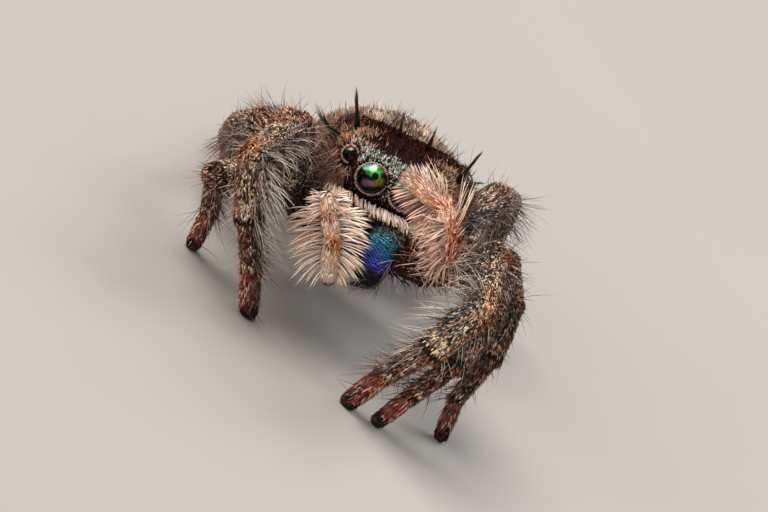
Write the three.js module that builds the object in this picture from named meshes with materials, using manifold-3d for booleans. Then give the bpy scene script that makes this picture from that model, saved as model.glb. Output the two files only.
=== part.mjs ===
// A jumping spider standing at rest, one palp raised before the face and one hanging.
// Millimetres, +Z up, the head towards -Y, so +X is the spider's left side.
// Shapes are worked out in a standing frame whose X = Y = 0 lies midway between the main
// eyes, with the floor at Z = 0. The finished group is moved so that its origin is the
// middle of its footprint.
import * as THREE from 'three';
import { mergeVertices } from 'three/addons/utils/BufferGeometryUtils.js';
import Module from 'manifold-3d';

const wasm = await Module();
wasm.setup();

// ---------------------------------------------------------------- driving dimensions

const JOINT_GAP = 0.1;         // clear space between neighbouring pieces of the body
const SHORTEST_EDGE = 0.004;   // edges under this are merged when pieces are joined
const SOCKET_GAP = 0.04;       // clear space round an eye in its socket
const FLOOR = 0;               // level of the flats under the feet
const PAD_HEIGHT = 0.1;        // height of each foot pad's centre above the floor

const FACE_HEIGHT = 3.5;       // floor to the point midway between the main eyes
const BODY_ROLL = 12;          // degrees, left side of the body carried higher
const BODY_PITCH = 5;          // degrees, face tipped up

// The carapace in the body frame: Y along the body, Z = 0 at its lower margin.
const CARAPACE_HALF_LENGTH = 2.3;
const CARAPACE_WIDTH = [[-2.3, 1.32], [-1.4, 1.4], [0.5, 1.72], [2.3, 1.4]];
const CARAPACE_TOP = [[-2.3, 1.9], [-1.6, 2.04], [-0.4, 2.05], [0.6, 1.8], [1.6, 1.2], [2.3, 0.85]];
const CARAPACE_MARGIN = [[-2.3, 0.62], [-1.7, 0.22], [-1.0, -0.02], [1.6, 0], [2.3, 0.2]];
const FACE_BLUNTNESS = 4.5;    // superellipse exponent of the front end
const REAR_BLUNTNESS = 2.4;    // and of the rear end
const HEAD_SQUARENESS = 3.6;   // superellipse exponent of the cross-section

const MAIN_EYE_HEIGHT = 1.25;  // body frame
const EYES = {
  anterior_median: { at: [0.37, -2.2, MAIN_EYE_HEIGHT], radius: 0.32 },
  anterior_lateral: { at: [0.97, -2.0, 1.46], radius: 0.17 },
  posterior_median: { at: [1.14, -1.22, 1.76], radius: 0.1 },
  posterior_lateral: { at: [1.29, -0.35, 1.66], radius: 0.19 },
};

const EYE_SIDES = 10;

// Stiff black tufts beside the upper eyes. lean is degrees outward from upright.
const TUFTS = [
  { at: [-1.08, -1.38, 1.86], lean: -28, back: 0, length: 0.84 },
  { at: [1.2, -1.38, 1.82], lean: 12, back: 0, length: 0.78 },
  { at: [-0.28, -0.8, 2.0], lean: -14, back: 10, length: 0.55 },
  { at: [0.36, -0.8, 2.0], lean: -4, back: 10, length: 0.5 },
  { at: [-1.34, -1.1, 1.5], lean: -72, back: 5, length: 0.6 },
  { at: [1.28, -0.62, 1.66], lean: 62, back: 5, length: 0.5 },
];
const TUFT_ROOT = 0.34;        // width of a tuft where it leaves the skin
const TUFT_SINK = 0.2;

const CLYPEUS_LOCKS = 13;      // the pale fringe under the main eyes
const CLYPEUS_LOCK = { length: 0.3, width: 0.26, thickness: 0.16, sink: 0.16, curl: -0.12 };
const CLYPEUS_HALF_SPAN = 1.08;
const CLYPEUS_HEIGHT = 0.76;

const STERNUM = { at: [0, 0.1, -0.24], half: [0.78, 1.55, 0.42] };
const ENDITE = { at: [0.3, -1.32, -0.5], half: [0.21, 0.42, 0.24] };
const LABIUM = { at: [0, -1.2, -0.62], half: [0.14, 0.3, 0.16] };

const CHELICERA = { at: [0.425, -2.08, -0.12], half: [0.385, 0.46, 0.72] };
const CHELICERA_SQUARENESS = 2.7;
const CHELICERA_TAPER = 0.16;  // share of width lost towards the fang
const FANG = { root: [0.5, -2.12, -0.78], radius: 0.13, length: 0.52, curl: 0.35 };

const PEDICEL = { from: [0, 2.1, 0.5], length: 0.9, radius: 0.26 };

// The abdomen stands in a frame of its own.
const ABDOMEN_CENTRE = [0.06, 7.0, 1.62];
const ABDOMEN_HALF = [1.75, 2.4, 1.25];
const ABDOMEN_ROLL = 14;       // degrees, left side higher
const ABDOMEN_PITCH = -7;      // degrees, rear end lower
const ABDOMEN_YAW = 6;         // degrees, rear end to the right
const ABDOMEN_TAPER = 0.2;     // share of girth moved from the rear to the front
const SPINNERET = { offset: 0.15, below: 0.42, length: 0.5, radius: 0.15 };
const ABDOMEN_COAT = 0.24;     // reach of the coat's tips beyond the core
const ABDOMEN_LOCKS = 80;
const ABDOMEN_LOCK = { length: 0.78, width: 0.52, thickness: 0.2, sink: 0.2, curl: -0.3 };
const ABDOMEN_LOCK_RISE = 30;  // degrees above the core at the root
const ABDOMEN_BELLY = -0.55;   // unit-sphere height under which there are no locks

// Legs: hip in the body frame, radii of coxa, femur, patella, tibia, metatarsus, tarsus.
// Each pose gives the coxa's heading, then the leg plane's heading and lean, then the
// lifts of femur, patella, tibia, metatarsus and tarsus, all in degrees. Headings turn
// from straight ahead towards the leg's own side.
const HIP_HEIGHT = -0.22;
const COXA_LIFT = 8;
const LEGS = {
  leg_1: {
    hip: [0.66, -1.1],
    coxa: 1.0,
    lengths: [2.3, 1.5, 1.3, 1.35, 0.95],
    radii: [0.33, 0.41, 0.38, 0.37, 0.26, 0.24],
    right: [47, 17, -27, 46, -14, -108, -123, -112],
    left: [49, 18, -10, 42, -22, -92, -115, -99],
  },
  leg_2: {
    hip: [0.76, -0.38],
    coxa: 0.9,
    lengths: [2.1, 1.2, 1.25, 1.1, 0.85],
    radii: [0.31, 0.38, 0.32, 0.33, 0.24, 0.21],
    right: [85, 31, -2, 46, -73, -15, -127, -107],
    left: [73, 24, -15, 36, -30, -59, -92, -91],
  },
  leg_3: {
    hip: [0.76, 0.4],
    coxa: 0.9,
    lengths: [2.2, 1.1, 1.3, 1.4, 0.9],
    radii: [0.31, 0.38, 0.33, 0.31, 0.23, 0.2],
    right: [112, 94, 59, 50, -71, -86, -97, -93],
    left: [128, 34, 2, 22, -27, -66, -92, -69],
  },
  leg_4: {
    hip: [0.64, 1.2],
    coxa: 1.05,
    lengths: [2.45, 1.15, 1.55, 1.5, 0.85],
    radii: [0.33, 0.41, 0.35, 0.33, 0.23, 0.2],
    right: [100, 157, 47, 0, -24, -30, -26, -19],
    left: [139, 164, 0, 20, -10, -45, -40, -45],
  },
};
const KNEE_TAPER = 0.92;       // a segment's end radius, as a share of its full one
const LIMB_SIDES = 8;

// Palps: base in the body frame, the other joints in the standing frame.
const PALP_BASE = [0.8, -1.98, -0.25];
const PALP_RADII = [0.22, 0.24, 0.25, 0.26];
const PALPS = {
  right: [[-0.86, -1.3, 2.93], [-0.64, -1.33, 2.69], [-0.26, -1.3, 2.28], [0.16, -1.12, 1.55]],
  left: [[1.77, -1.4, 3.41], [1.37, -1.46, 4.0], [1.05, -1.4, 4.27], [0.08, -1.13, 4.2]],
};

const LOCK_SIDES = 4;
const LOCK_STEPS = 2;

// Fringes: flat tapered locks to both sides of a limb segment, and locks that lie down its
// front where front is above 0. reach is the length beyond the segment's surface.
const FRINGE_LOCK = { width: 0.38, thickness: 0.14 };
const FRINGE_PITCH = 0.14;     // spacing along the segment, left and right by turns
const FRINGE_LEAN = 40;        // degrees from square to the segment towards its tip
const FRINGE_ROOT = 0.4;       // depth of the roots, as a share of the radius from the axis
const FRINGE_SINK = 0.3;       // length below the root, as a share of the radius
const FRINGE_SHORTENING = 0.4; // share of its length that a fringe loses by the segment's end
const FRONT_SEAT = 0.7;        // the front row's roots, as a share of the radius
const FRONT_RISE = 0.45;       // its rise from the segment, as a slope
const FRONT_CURL = -0.22;
const PALP_FRINGE = { reach: 0.6, front: 0.48 };
const SHIN_FRINGE = { reach: 0.36, front: 0 };

const COLOURS = {
  carapace: { color: 0x3a1a12, roughness: 0.45, metalness: 0 },
  abdomen: { color: 0x6b5645, roughness: 0.9, metalness: 0 },
  underside: { color: 0x2b1c17, roughness: 0.7, metalness: 0 },
  eye: { color: 0x05100a, roughness: 0.05, metalness: 0.2 },
  chelicera: { color: 0x1d4f9c, roughness: 0.3, metalness: 0.8 },
  fang: { color: 0x3a0b08, roughness: 0.25, metalness: 0 },
  palp: { color: 0xcba98f, roughness: 0.85, metalness: 0 },
  leg: { color: 0x5c4632, roughness: 0.85, metalness: 0 },
};

// ---------------------------------------------------------------- small mathematics

const radians = THREE.MathUtils.degToRad;
const vector = (values) => new THREE.Vector3(...values);

/** Mirrors a body-frame place to the right side when side is -1. */
const onSide = ([x, y, z], side) => new THREE.Vector3(side * x, y, z);

/** Reads a smooth value at y from stations [[y, value], ...]. */
function atStation(stations, y) {
  const last = stations.length - 1;
  if (y <= stations[0][0]) return stations[0][1];
  if (y >= stations[last][0]) return stations[last][1];
  const i = stations.findIndex((station) => station[0] > y);
  const [y0, v0] = stations[i - 1];
  const [y1, v1] = stations[i];
  return THREE.MathUtils.lerp(v0, v1, THREE.MathUtils.smoothstep(y, y0, y1));
}

/** A repeatable stream of numbers from 0 to 1. */
function randomStream(seed) {
  let state = seed;
  return () => {
    state = (Math.imul(state, 1664525) + 1013904223) >>> 0;
    return state / 4294967296;
  };
}

const bodyTurn = new THREE.Matrix4()
  .makeRotationY(radians(-BODY_ROLL))
  .multiply(new THREE.Matrix4().makeRotationX(radians(-BODY_PITCH)));
const faceInBody = new THREE.Vector3(0, -2.12, MAIN_EYE_HEIGHT).applyMatrix4(bodyTurn);
const bodyFrame = new THREE.Matrix4()
  .makeTranslation(-faceInBody.x, -faceInBody.y, FACE_HEIGHT - faceInBody.z)
  .multiply(bodyTurn);
const inBody = (place, side = 1) => onSide(place, side).applyMatrix4(bodyFrame);

const abdomenFrame = new THREE.Matrix4()
  .makeTranslation(...ABDOMEN_CENTRE)
  .multiply(new THREE.Matrix4().makeRotationZ(radians(ABDOMEN_YAW)))
  .multiply(new THREE.Matrix4().makeRotationY(radians(-ABDOMEN_ROLL)))
  .multiply(new THREE.Matrix4().makeRotationX(radians(ABDOMEN_PITCH)));

// ---------------------------------------------------------------- solids

/** Turns a closed three.js geometry into a solid. */
function toSolid(geometry) {
  const bare = geometry.clone();
  bare.deleteAttribute('normal');
  bare.deleteAttribute('uv');
  const merged = mergeVertices(bare, 1e-5);
  return new wasm.Manifold(new wasm.Mesh({
    numProp: 3,
    vertProperties: new Float32Array(merged.attributes.position.array),
    triVerts: new Uint32Array(merged.index.array),
    tolerance: SHORTEST_EDGE,
  }));
}

/** Joins solids into one and keeps its largest closed surface. */
function fuse(solids) {
  const joined = solids.slice(1).reduce((sum, solid) => sum.add(solid), solids[0]);
  const shells = joined.decompose();
  return shells.reduce((best, shell) => (shell.volume() > best.volume() ? shell : best));
}

/** Makes a three.js geometry from a solid. */
function toGeometry(solid) {
  const mesh = solid.getMesh();
  const geometry = new THREE.BufferGeometry();
  geometry.setAttribute('position', new THREE.BufferAttribute(mesh.vertProperties.slice(), 3));
  geometry.setIndex(new THREE.BufferAttribute(mesh.triVerts.slice(), 1));
  geometry.computeVertexNormals();
  return geometry;
}

/** Moves every vertex of a geometry by a rule that maps a Vector3 to a Vector3. */
function reshape(geometry, rule) {
  const position = geometry.attributes.position;
  const point = new THREE.Vector3();
  for (let i = 0; i < position.count; i += 1) {
    const moved = rule(point.fromBufferAttribute(position, i));
    position.setXYZ(i, moved.x, moved.y, moved.z);
  }
  return geometry;
}

/** An ellipsoid in the body frame; squareness above 2 makes it boxier. */
function ovoid({ at, half }, side, grow, squareness = 2, taper = 0) {
  const geometry = new THREE.SphereGeometry(1, 12, 8);
  reshape(geometry, (p) => {
    const power = squareness;
    const sum = Math.abs(p.x) ** power + Math.abs(p.y) ** power + Math.abs(p.z) ** power;
    const scale = 1 / sum ** (1 / power);
    const girth = 1 + taper * p.z;
    return new THREE.Vector3(
      side * at[0] + p.x * scale * girth * (half[0] + grow),
      at[1] + p.y * scale * girth * (half[1] + grow),
      at[2] + p.z * scale * (half[2] + grow),
    );
  });
  return toSolid(geometry.applyMatrix4(bodyFrame));
}

/** A limb segment from a to b: radius grows to its belly and narrows to the far joint. */
function limbSegment(a, b, nearRadius, fullRadius, farRadius, grow = 0) {
  const length = a.distanceTo(b);
  const near = nearRadius + grow;
  const full = fullRadius + grow;
  const far = farRadius + grow;
  const profile = [
    [0, -near], [0.7 * near, -0.7 * near], [near, 0], [full, 0.45 * length],
    [far, length], [0.7 * far, length + 0.7 * far], [0, length + far],
  ].map(([x, y]) => new THREE.Vector2(x, y));
  const geometry = new THREE.LatheGeometry(profile, LIMB_SIDES);
  const direction = b.clone().sub(a).normalize();
  const turn = new THREE.Quaternion().setFromUnitVectors(new THREE.Vector3(0, 1, 0), direction);
  return toSolid(geometry.applyQuaternion(turn).translate(a.x, a.y, a.z));
}

/** A flat tapered lock: lies along a direction, bends towards or away from its outer face. */
function lock(root, along, outer, { length, width, thickness, sink, curl }) {
  const lie = along.clone().normalize();
  const side = new THREE.Vector3().crossVectors(lie, outer).normalize();
  const face = new THREE.Vector3().crossVectors(side, lie);
  const geometry = new THREE.ConeGeometry(0.5, 1, LOCK_SIDES, LOCK_STEPS).translate(0, 0.5, 0);
  reshape(geometry, (p) => {
    const fullness = 1 + p.y;
    const reach = p.y * (length + sink) - sink;
    const bend = curl * length * p.y * p.y;
    return root.clone()
      .addScaledVector(lie, reach)
      .addScaledVector(side, p.x * width * fullness)
      .addScaledVector(face, p.z * thickness * fullness + bend);
  });
  return toSolid(geometry);
}

/** The locks of a fringe along a limb segment from a to b, its sides taken from the front. */
function fringeLocks(a, b, radius, { reach, front }, random) {
  const along = b.clone().sub(a);
  const axis = along.clone().normalize();
  const across = new THREE.Vector3().crossVectors(axis, new THREE.Vector3(0, 1, 0)).normalize();
  const ahead = new THREE.Vector3().crossVectors(across, axis);
  if (ahead.y > 0) ahead.negate();
  const count = Math.round(along.length() / FRINGE_PITCH);
  const rows = Array.from({ length: count }, (_, i) => {
    const station = a.clone().addScaledVector(along, (i + 0.5) / count);
    const side = i % 2 ? 1 : -1;
    const shortening = 1 - FRINGE_SHORTENING * (i / count) ** 2;
    const lean = radians(FRINGE_LEAN + 16 * (random() - 0.5));
    const lie = across.clone().multiplyScalar(side * Math.cos(lean))
      .addScaledVector(axis, Math.sin(lean))
      .addScaledVector(ahead, 0.3 * (random() - 0.5));
    const length = (reach * shortening + (1 - FRINGE_ROOT) * radius) * (0.85 + 0.3 * random());
    const spread = lock(
      station.clone().addScaledVector(across, side * FRINGE_ROOT * radius), lie, ahead,
      { ...FRINGE_LOCK, length, sink: FRINGE_SINK * radius, curl: 0.1 * (random() - 0.5) },
    );
    if (!front || i % 2) return [spread];
    const down = axis.clone()
      .addScaledVector(ahead, FRONT_RISE)
      .addScaledVector(across, 0.4 * (random() - 0.5));
    const cover = lock(
      station.clone().addScaledVector(ahead, FRONT_SEAT * radius), down, ahead,
      { ...FRINGE_LOCK, length: front * shortening, sink: FRINGE_SINK * radius, curl: FRONT_CURL },
    );
    return [spread, cover];
  });
  return rows.flat();
}

/** Keeps the part of a solid on the far side of a plane through a point. */
function keepBeyond(solid, point, normal, gap) {
  const unit = normal.clone().normalize();
  return solid.trimByPlane([unit.x, unit.y, unit.z], unit.dot(point) + gap / 2);
}

const keepBefore = (solid, point, normal, gap) => (
  keepBeyond(solid, point, normal.clone().negate(), gap)
);

// ---------------------------------------------------------------- prosoma

/** The domed carapace: a superellipse from end to end with the stations' widths. */
function carapaceSolid(grow) {
  const geometry = new THREE.SphereGeometry(1, 20, 14);
  reshape(geometry, (p) => {
    const bluntness = p.y < 0 ? FACE_BLUNTNESS : REAR_BLUNTNESS;
    const ring = Math.hypot(p.x, p.z);
    const reach = Math.sign(p.y) * Math.abs(p.y) ** (2 / bluntness);
    const spread = ring ** (2 / bluntness);
    const angle = Math.atan2(p.z, p.x);
    const across = Math.cos(angle);
    const upward = Math.sin(angle);
    const corner = Math.abs(across) ** HEAD_SQUARENESS + Math.abs(upward) ** HEAD_SQUARENESS;
    const square = spread / corner ** (1 / HEAD_SQUARENESS);
    const y = reach * CARAPACE_HALF_LENGTH;
    const top = atStation(CARAPACE_TOP, y);
    const margin = atStation(CARAPACE_MARGIN, y);
    return new THREE.Vector3(
      square * across * (atStation(CARAPACE_WIDTH, y) + grow),
      reach * (CARAPACE_HALF_LENGTH + grow),
      (top + margin) / 2 + square * upward * ((top - margin) / 2 + grow),
    );
  });
  return toSolid(geometry.applyMatrix4(bodyFrame));
}

function eyeBall({ at, radius }, side, grow) {
  const geometry = new THREE.SphereGeometry(radius + grow, EYE_SIDES, EYE_SIDES - 3);
  const place = inBody(at, side);
  return toSolid(geometry.translate(place.x, place.y, place.z));
}

/** One stiff tuft: a tapered spine rooted in the carapace. */
function tuft({ at, lean, back, length }) {
  const up = new THREE.Vector3(Math.sin(radians(lean)), Math.sin(radians(back)), Math.cos(radians(lean)))
    .transformDirection(bodyFrame);
  const outer = new THREE.Vector3(0, -1, 0).transformDirection(bodyFrame);
  const size = { length, width: TUFT_ROOT, thickness: TUFT_ROOT, sink: TUFT_SINK, curl: 0 };
  return lock(inBody(at), up, outer, size);
}

/** The pale fringe hanging from the clypeus over the chelicerae. */
function clypeusLocks() {
  const random = randomStream(7);
  const step = (2 * CLYPEUS_HALF_SPAN) / (CLYPEUS_LOCKS - 1);
  return Array.from({ length: CLYPEUS_LOCKS }, (_, i) => {
    const x = -CLYPEUS_HALF_SPAN + i * step;
    const edge = Math.abs(x) / CARAPACE_WIDTH[0][1];
    const y = -CARAPACE_HALF_LENGTH * (1 - edge ** FACE_BLUNTNESS) ** (1 / FACE_BLUNTNESS);
    const root = inBody([x, y, CLYPEUS_HEIGHT]);
    const down = new THREE.Vector3(0.25 + 0.2 * (random() - 0.5), -0.5, -1)
      .transformDirection(bodyFrame);
    const outer = new THREE.Vector3(0, -1, 0).transformDirection(bodyFrame);
    return lock(root, down, outer, CLYPEUS_LOCK);
  });
}

function carapace() {
  const sockets = Object.values(EYES)
    .flatMap((eye) => [eyeBall(eye, 1, SOCKET_GAP), eyeBall(eye, -1, SOCKET_GAP)]);
  const dressed = fuse([carapaceSolid(0), ...TUFTS.map(tuft), ...clypeusLocks()]);
  return fuse([sockets.reduce((rest, socket) => rest.subtract(socket), dressed)]);
}

const sternumSolid = (grow) => ovoid(STERNUM, 1, grow);

const labiumSolid = (grow) => ovoid(LABIUM, 1, grow);

const enditeSolid = (side, grow) => ovoid(ENDITE, side, grow);

function cheliceraSolid(side, grow) {
  return ovoid(CHELICERA, side, grow, CHELICERA_SQUARENESS, CHELICERA_TAPER);
}

function fangSolid(side) {
  const inward = onSide([-0.75, 0.15, -0.6], side).transformDirection(bodyFrame);
  const outer = onSide([-0.6, 0.2, 0.75], side).transformDirection(bodyFrame);
  const size = {
    length: FANG.length,
    width: 2 * FANG.radius,
    thickness: 2 * FANG.radius,
    sink: 0.25,
    curl: FANG.curl,
  };
  return lock(inBody(FANG.root, side), inward, outer, size);
}

// ---------------------------------------------------------------- abdomen

/** The skin of the abdomen at a unit-sphere direction, in its own frame. */
function abdomenSkin(p, grow = 0) {
  const girth = 1 - ABDOMEN_TAPER * p.y * Math.abs(p.y);
  return new THREE.Vector3(
    p.x * girth * (ABDOMEN_HALF[0] + grow),
    p.y * (ABDOMEN_HALF[1] + grow),
    p.z * girth * (ABDOMEN_HALF[2] + grow),
  );
}

function abdomenSolid(grow) {
  const geometry = new THREE.SphereGeometry(1, 18, 12);
  reshape(geometry, (p) => abdomenSkin(p, grow));
  return toSolid(geometry.applyMatrix4(abdomenFrame));
}

/** Flat locks over the back and sides of the abdomen, laid backwards in a sunflower order. */
function abdomenLocks() {
  const random = randomStream(11);
  const goldenAngle = Math.PI * (3 - Math.sqrt(5));
  const rise = Math.tan(radians(ABDOMEN_LOCK_RISE));
  const directions = Array.from({ length: ABDOMEN_LOCKS }, (_, i) => {
    const y = -0.86 + (1.72 * (i + 0.5)) / ABDOMEN_LOCKS;
    const ring = Math.sqrt(1 - y * y);
    const angle = i * goldenAngle;
    return new THREE.Vector3(ring * Math.cos(angle), y, ring * Math.sin(angle));
  });
  return directions.filter((direction) => direction.z > ABDOMEN_BELLY).map((direction) => {
    const outer = new THREE.Vector3(
      direction.x / ABDOMEN_HALF[0],
      direction.y / ABDOMEN_HALF[1],
      direction.z / ABDOMEN_HALF[2],
    ).normalize();
    const backward = new THREE.Vector3(0.3 * (random() - 0.5), 1, 0.3 * (random() - 0.5));
    backward.addScaledVector(outer, -backward.dot(outer)).normalize();
    return lock(
      abdomenSkin(direction).applyMatrix4(abdomenFrame),
      backward.addScaledVector(outer, rise).transformDirection(abdomenFrame),
      outer.transformDirection(abdomenFrame),
      { ...ABDOMEN_LOCK, length: ABDOMEN_LOCK.length * (0.85 + 0.3 * random()) },
    );
  });
}

function pedicelSolid() {
  const from = vector(PEDICEL.from);
  const to = from.clone().add(new THREE.Vector3(0, PEDICEL.length, 0));
  const { radius } = PEDICEL;
  const rod = limbSegment(
    from.applyMatrix4(bodyFrame), to.applyMatrix4(bodyFrame), radius, radius, radius,
  );
  return rod.subtract(carapaceSolid(JOINT_GAP)).subtract(abdomenSolid(JOINT_GAP));
}

/** A bunch of four small spinnerets at the abdomen's tail. */
function spinneretSolid() {
  const { offset, below, length, radius } = SPINNERET;
  const tips = [[-1, 1], [1, 1], [-1, -1], [1, -1]].map(([x, z]) => {
    const root = new THREE.Vector3(x * offset, ABDOMEN_HALF[1] * 0.93, z * offset - below);
    const end = root.clone().add(new THREE.Vector3(0, length, -0.1));
    return limbSegment(
      root.applyMatrix4(abdomenFrame), end.applyMatrix4(abdomenFrame),
      radius, radius, 0.6 * radius,
    );
  });
  return fuse(tips).subtract(abdomenSolid(JOINT_GAP));
}

// ---------------------------------------------------------------- limbs

/** Joint centres of a leg from hip to claw pad, settled so that the pad meets the floor. */
function legJoints(leg, side, pose) {
  const [coxaHeading, heading, lean, ...lifts] = pose.map(radians);
  const hip = new THREE.Vector3(side * leg.hip[0], leg.hip[1], HIP_HEIGHT);
  const coxa = new THREE.Vector3(
    side * Math.sin(coxaHeading) * Math.cos(radians(COXA_LIFT)),
    -Math.cos(coxaHeading) * Math.cos(radians(COXA_LIFT)),
    Math.sin(radians(COXA_LIFT)),
  );
  const joints = [hip, hip.clone().addScaledVector(coxa, leg.coxa)]
    .map((joint) => joint.applyMatrix4(bodyFrame));
  const forward = new THREE.Vector3(side * Math.sin(heading), -Math.cos(heading), 0);
  const inward = new THREE.Vector3(side * forward.y, -side * forward.x, 0);
  const upward = new THREE.Vector3(0, 0, Math.cos(lean)).addScaledVector(inward, Math.sin(lean));
  leg.lengths.forEach((length, i) => {
    const next = joints[joints.length - 1].clone()
      .addScaledVector(forward, length * Math.cos(lifts[i]))
      .addScaledVector(upward, length * Math.sin(lifts[i]));
    joints.push(next);
  });
  const total = leg.lengths.reduce((sum, length) => sum + length, 0);
  const error = joints[6].z - PAD_HEIGHT;
  let walked = 0;
  leg.lengths.forEach((length, i) => {
    walked += length;
    joints[i + 2].z -= (error * walked) / total;
  });
  return joints;
}

/** The plane normal that halves the bend between two segments. */
function bendNormal(a, joint, b) {
  const arriving = joint.clone().sub(a).normalize();
  const leaving = b.clone().sub(joint).normalize();
  return arriving.add(leaving).normalize();
}

/** Four solids of a leg: coxa with femur, patella, tibia, and metatarsus with tarsus. */
function legSolids(leg, side, pose) {
  const joints = legJoints(leg, side, pose);
  const segments = leg.radii.map((radius, i) => {
    const near = i === 0 ? radius : Math.min(radius, leg.radii[i - 1]) * KNEE_TAPER;
    return limbSegment(joints[i], joints[i + 1], near, radius, radius * KNEE_TAPER);
  });
  const cuts = [2, 3, 4].map((i) => ({
    at: joints[i],
    normal: bendNormal(joints[i - 1], joints[i], joints[i + 1]),
  }));
  const between = (solid, first, last) => {
    const started = first ? keepBeyond(solid, first.at, first.normal, JOINT_GAP) : solid;
    return last ? keepBefore(started, last.at, last.normal, JOINT_GAP) : started;
  };
  const random = randomStream(20);
  const fringed = (i) => {
    if (leg !== LEGS.leg_1) return segments[i];
    const locks = fringeLocks(joints[i], joints[i + 1], leg.radii[i], SHIN_FRINGE, random);
    return fuse([segments[i], ...locks]);
  };
  const upper = between(fuse(segments.slice(0, 2)), null, cuts[0])
    .subtract(carapaceSolid(JOINT_GAP))
    .subtract(sternumSolid(JOINT_GAP))
    .subtract(enditeSolid(side, JOINT_GAP));
  const patella = between(fringed(2), cuts[0], cuts[1]);
  const tibia = between(fringed(3), cuts[1], cuts[2]);
  const foot = keepBeyond(
    between(fuse(segments.slice(4, 6)), cuts[2], null),
    new THREE.Vector3(0, 0, FLOOR), new THREE.Vector3(0, 0, 1), 0,
  );
  const clearance = abdomenSolid(ABDOMEN_COAT + JOINT_GAP);
  const clear = (solid) => (leg === LEGS.leg_4 ? solid.subtract(clearance) : solid);
  return [upper, patella, tibia, foot].map((solid) => fuse([clear(solid)]));
}

/** Three solids of a palp: base to knee, patella with tibia, tarsus. */
function palpSolids(side, joints) {
  const places = [inBody(PALP_BASE, side), ...joints.map(vector)];
  const segments = PALP_RADII.map((radius, i) => (
    limbSegment(places[i], places[i + 1], radius * KNEE_TAPER, radius, radius * KNEE_TAPER)
  ));
  const knee = bendNormal(places[0], places[1], places[2]);
  const wrist = bendNormal(places[2], places[3], places[4]);
  const upper = keepBefore(segments[0], places[1], knee, JOINT_GAP)
    .subtract(carapaceSolid(JOINT_GAP))
    .subtract(cheliceraSolid(side, JOINT_GAP));
  const random = randomStream(30);
  const fringe = [1, 2, 3].map((i) => (
    fringeLocks(places[i], places[i + 1], PALP_RADII[i], PALP_FRINGE, random)
  ));
  const middle = keepBefore(
    keepBeyond(fuse([...segments.slice(1, 3), ...fringe[0], ...fringe[1]]), places[1], knee, JOINT_GAP),
    places[3], wrist, JOINT_GAP,
  );
  const tarsus = keepBeyond(fuse([segments[3], ...fringe[2]]), places[3], wrist, JOINT_GAP);
  const clear = (solid) => [-1, 1].reduce(
    (rest, near) => rest.subtract(cheliceraSolid(near, JOINT_GAP)), solid,
  ).subtract(carapaceSolid(JOINT_GAP));
  return [upper, middle, tarsus].map((solid) => fuse([clear(solid)]));
}

// ---------------------------------------------------------------- assembly

const spider = new THREE.Group();

function place(name, solid, finish) {
  const mesh = new THREE.Mesh(toGeometry(solid), new THREE.MeshStandardMaterial(COLOURS[finish]));
  mesh.name = name;
  spider.add(mesh);
}

const SIDES = { left: 1, right: -1 };

place('carapace', carapace(), 'carapace');
place('sternum', sternumSolid(0).subtract(carapaceSolid(JOINT_GAP)), 'underside');
place('labium', labiumSolid(0).subtract(sternumSolid(JOINT_GAP)), 'underside');
place('pedicel', fuse([pedicelSolid()]), 'underside');
place('abdomen', fuse([abdomenSolid(0), ...abdomenLocks()]), 'abdomen');
place('spinnerets', fuse([spinneretSolid()]), 'underside');

for (const [sideName, side] of Object.entries(SIDES)) {
  for (const [eyeName, eye] of Object.entries(EYES)) {
    place(`eye_${eyeName}_${sideName}`, eyeBall(eye, side, 0), 'eye');
  }
  const chelicera = cheliceraSolid(side, 0).subtract(carapaceSolid(JOINT_GAP));
  place(`chelicera_${sideName}`, fuse([chelicera]), 'chelicera');
  place(`fang_${sideName}`, fuse([fangSolid(side).subtract(cheliceraSolid(side, JOINT_GAP))]), 'fang');
  const endite = enditeSolid(side, 0)
    .subtract(sternumSolid(JOINT_GAP))
    .subtract(labiumSolid(JOINT_GAP))
    .subtract(carapaceSolid(JOINT_GAP))
    .subtract(cheliceraSolid(side, JOINT_GAP));
  place(`endite_${sideName}`, fuse([endite]), 'underside');
  const palp = palpSolids(side, PALPS[sideName]);
  ['femur', 'tibia', 'tarsus'].forEach((part, i) => {
    place(`palp_${sideName}_${part}`, palp[i], 'palp');
  });
  for (const [legName, leg] of Object.entries(LEGS)) {
    const solids = legSolids(leg, side, leg[sideName]);
    ['femur', 'patella', 'tibia', 'tarsus'].forEach((part, i) => {
      place(`${legName}_${sideName}_${part}`, solids[i], 'leg');
    });
  }
}

const box = new THREE.Box3().setFromObject(spider);
const middle = box.getCenter(new THREE.Vector3());
spider.position.set(-middle.x, -middle.y, -box.min.z);

export default spider;
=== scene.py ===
"""A life-size, still model of a hairy jumping spider: skin, eyes, iridescent jaws and coat.

Everything is worked out in millimetres in a standing frame, whose origin lies on the floor
under the point midway between the main eyes, with +X the spider's left and -Y ahead of it.
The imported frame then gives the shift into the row's own frame. Hairs are solid tapered
tubes that grow from the skin and follow the lie of the coat.
"""

import logging
from dataclasses import dataclass
from enum import Enum, IntEnum
from typing import ClassVar

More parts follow.
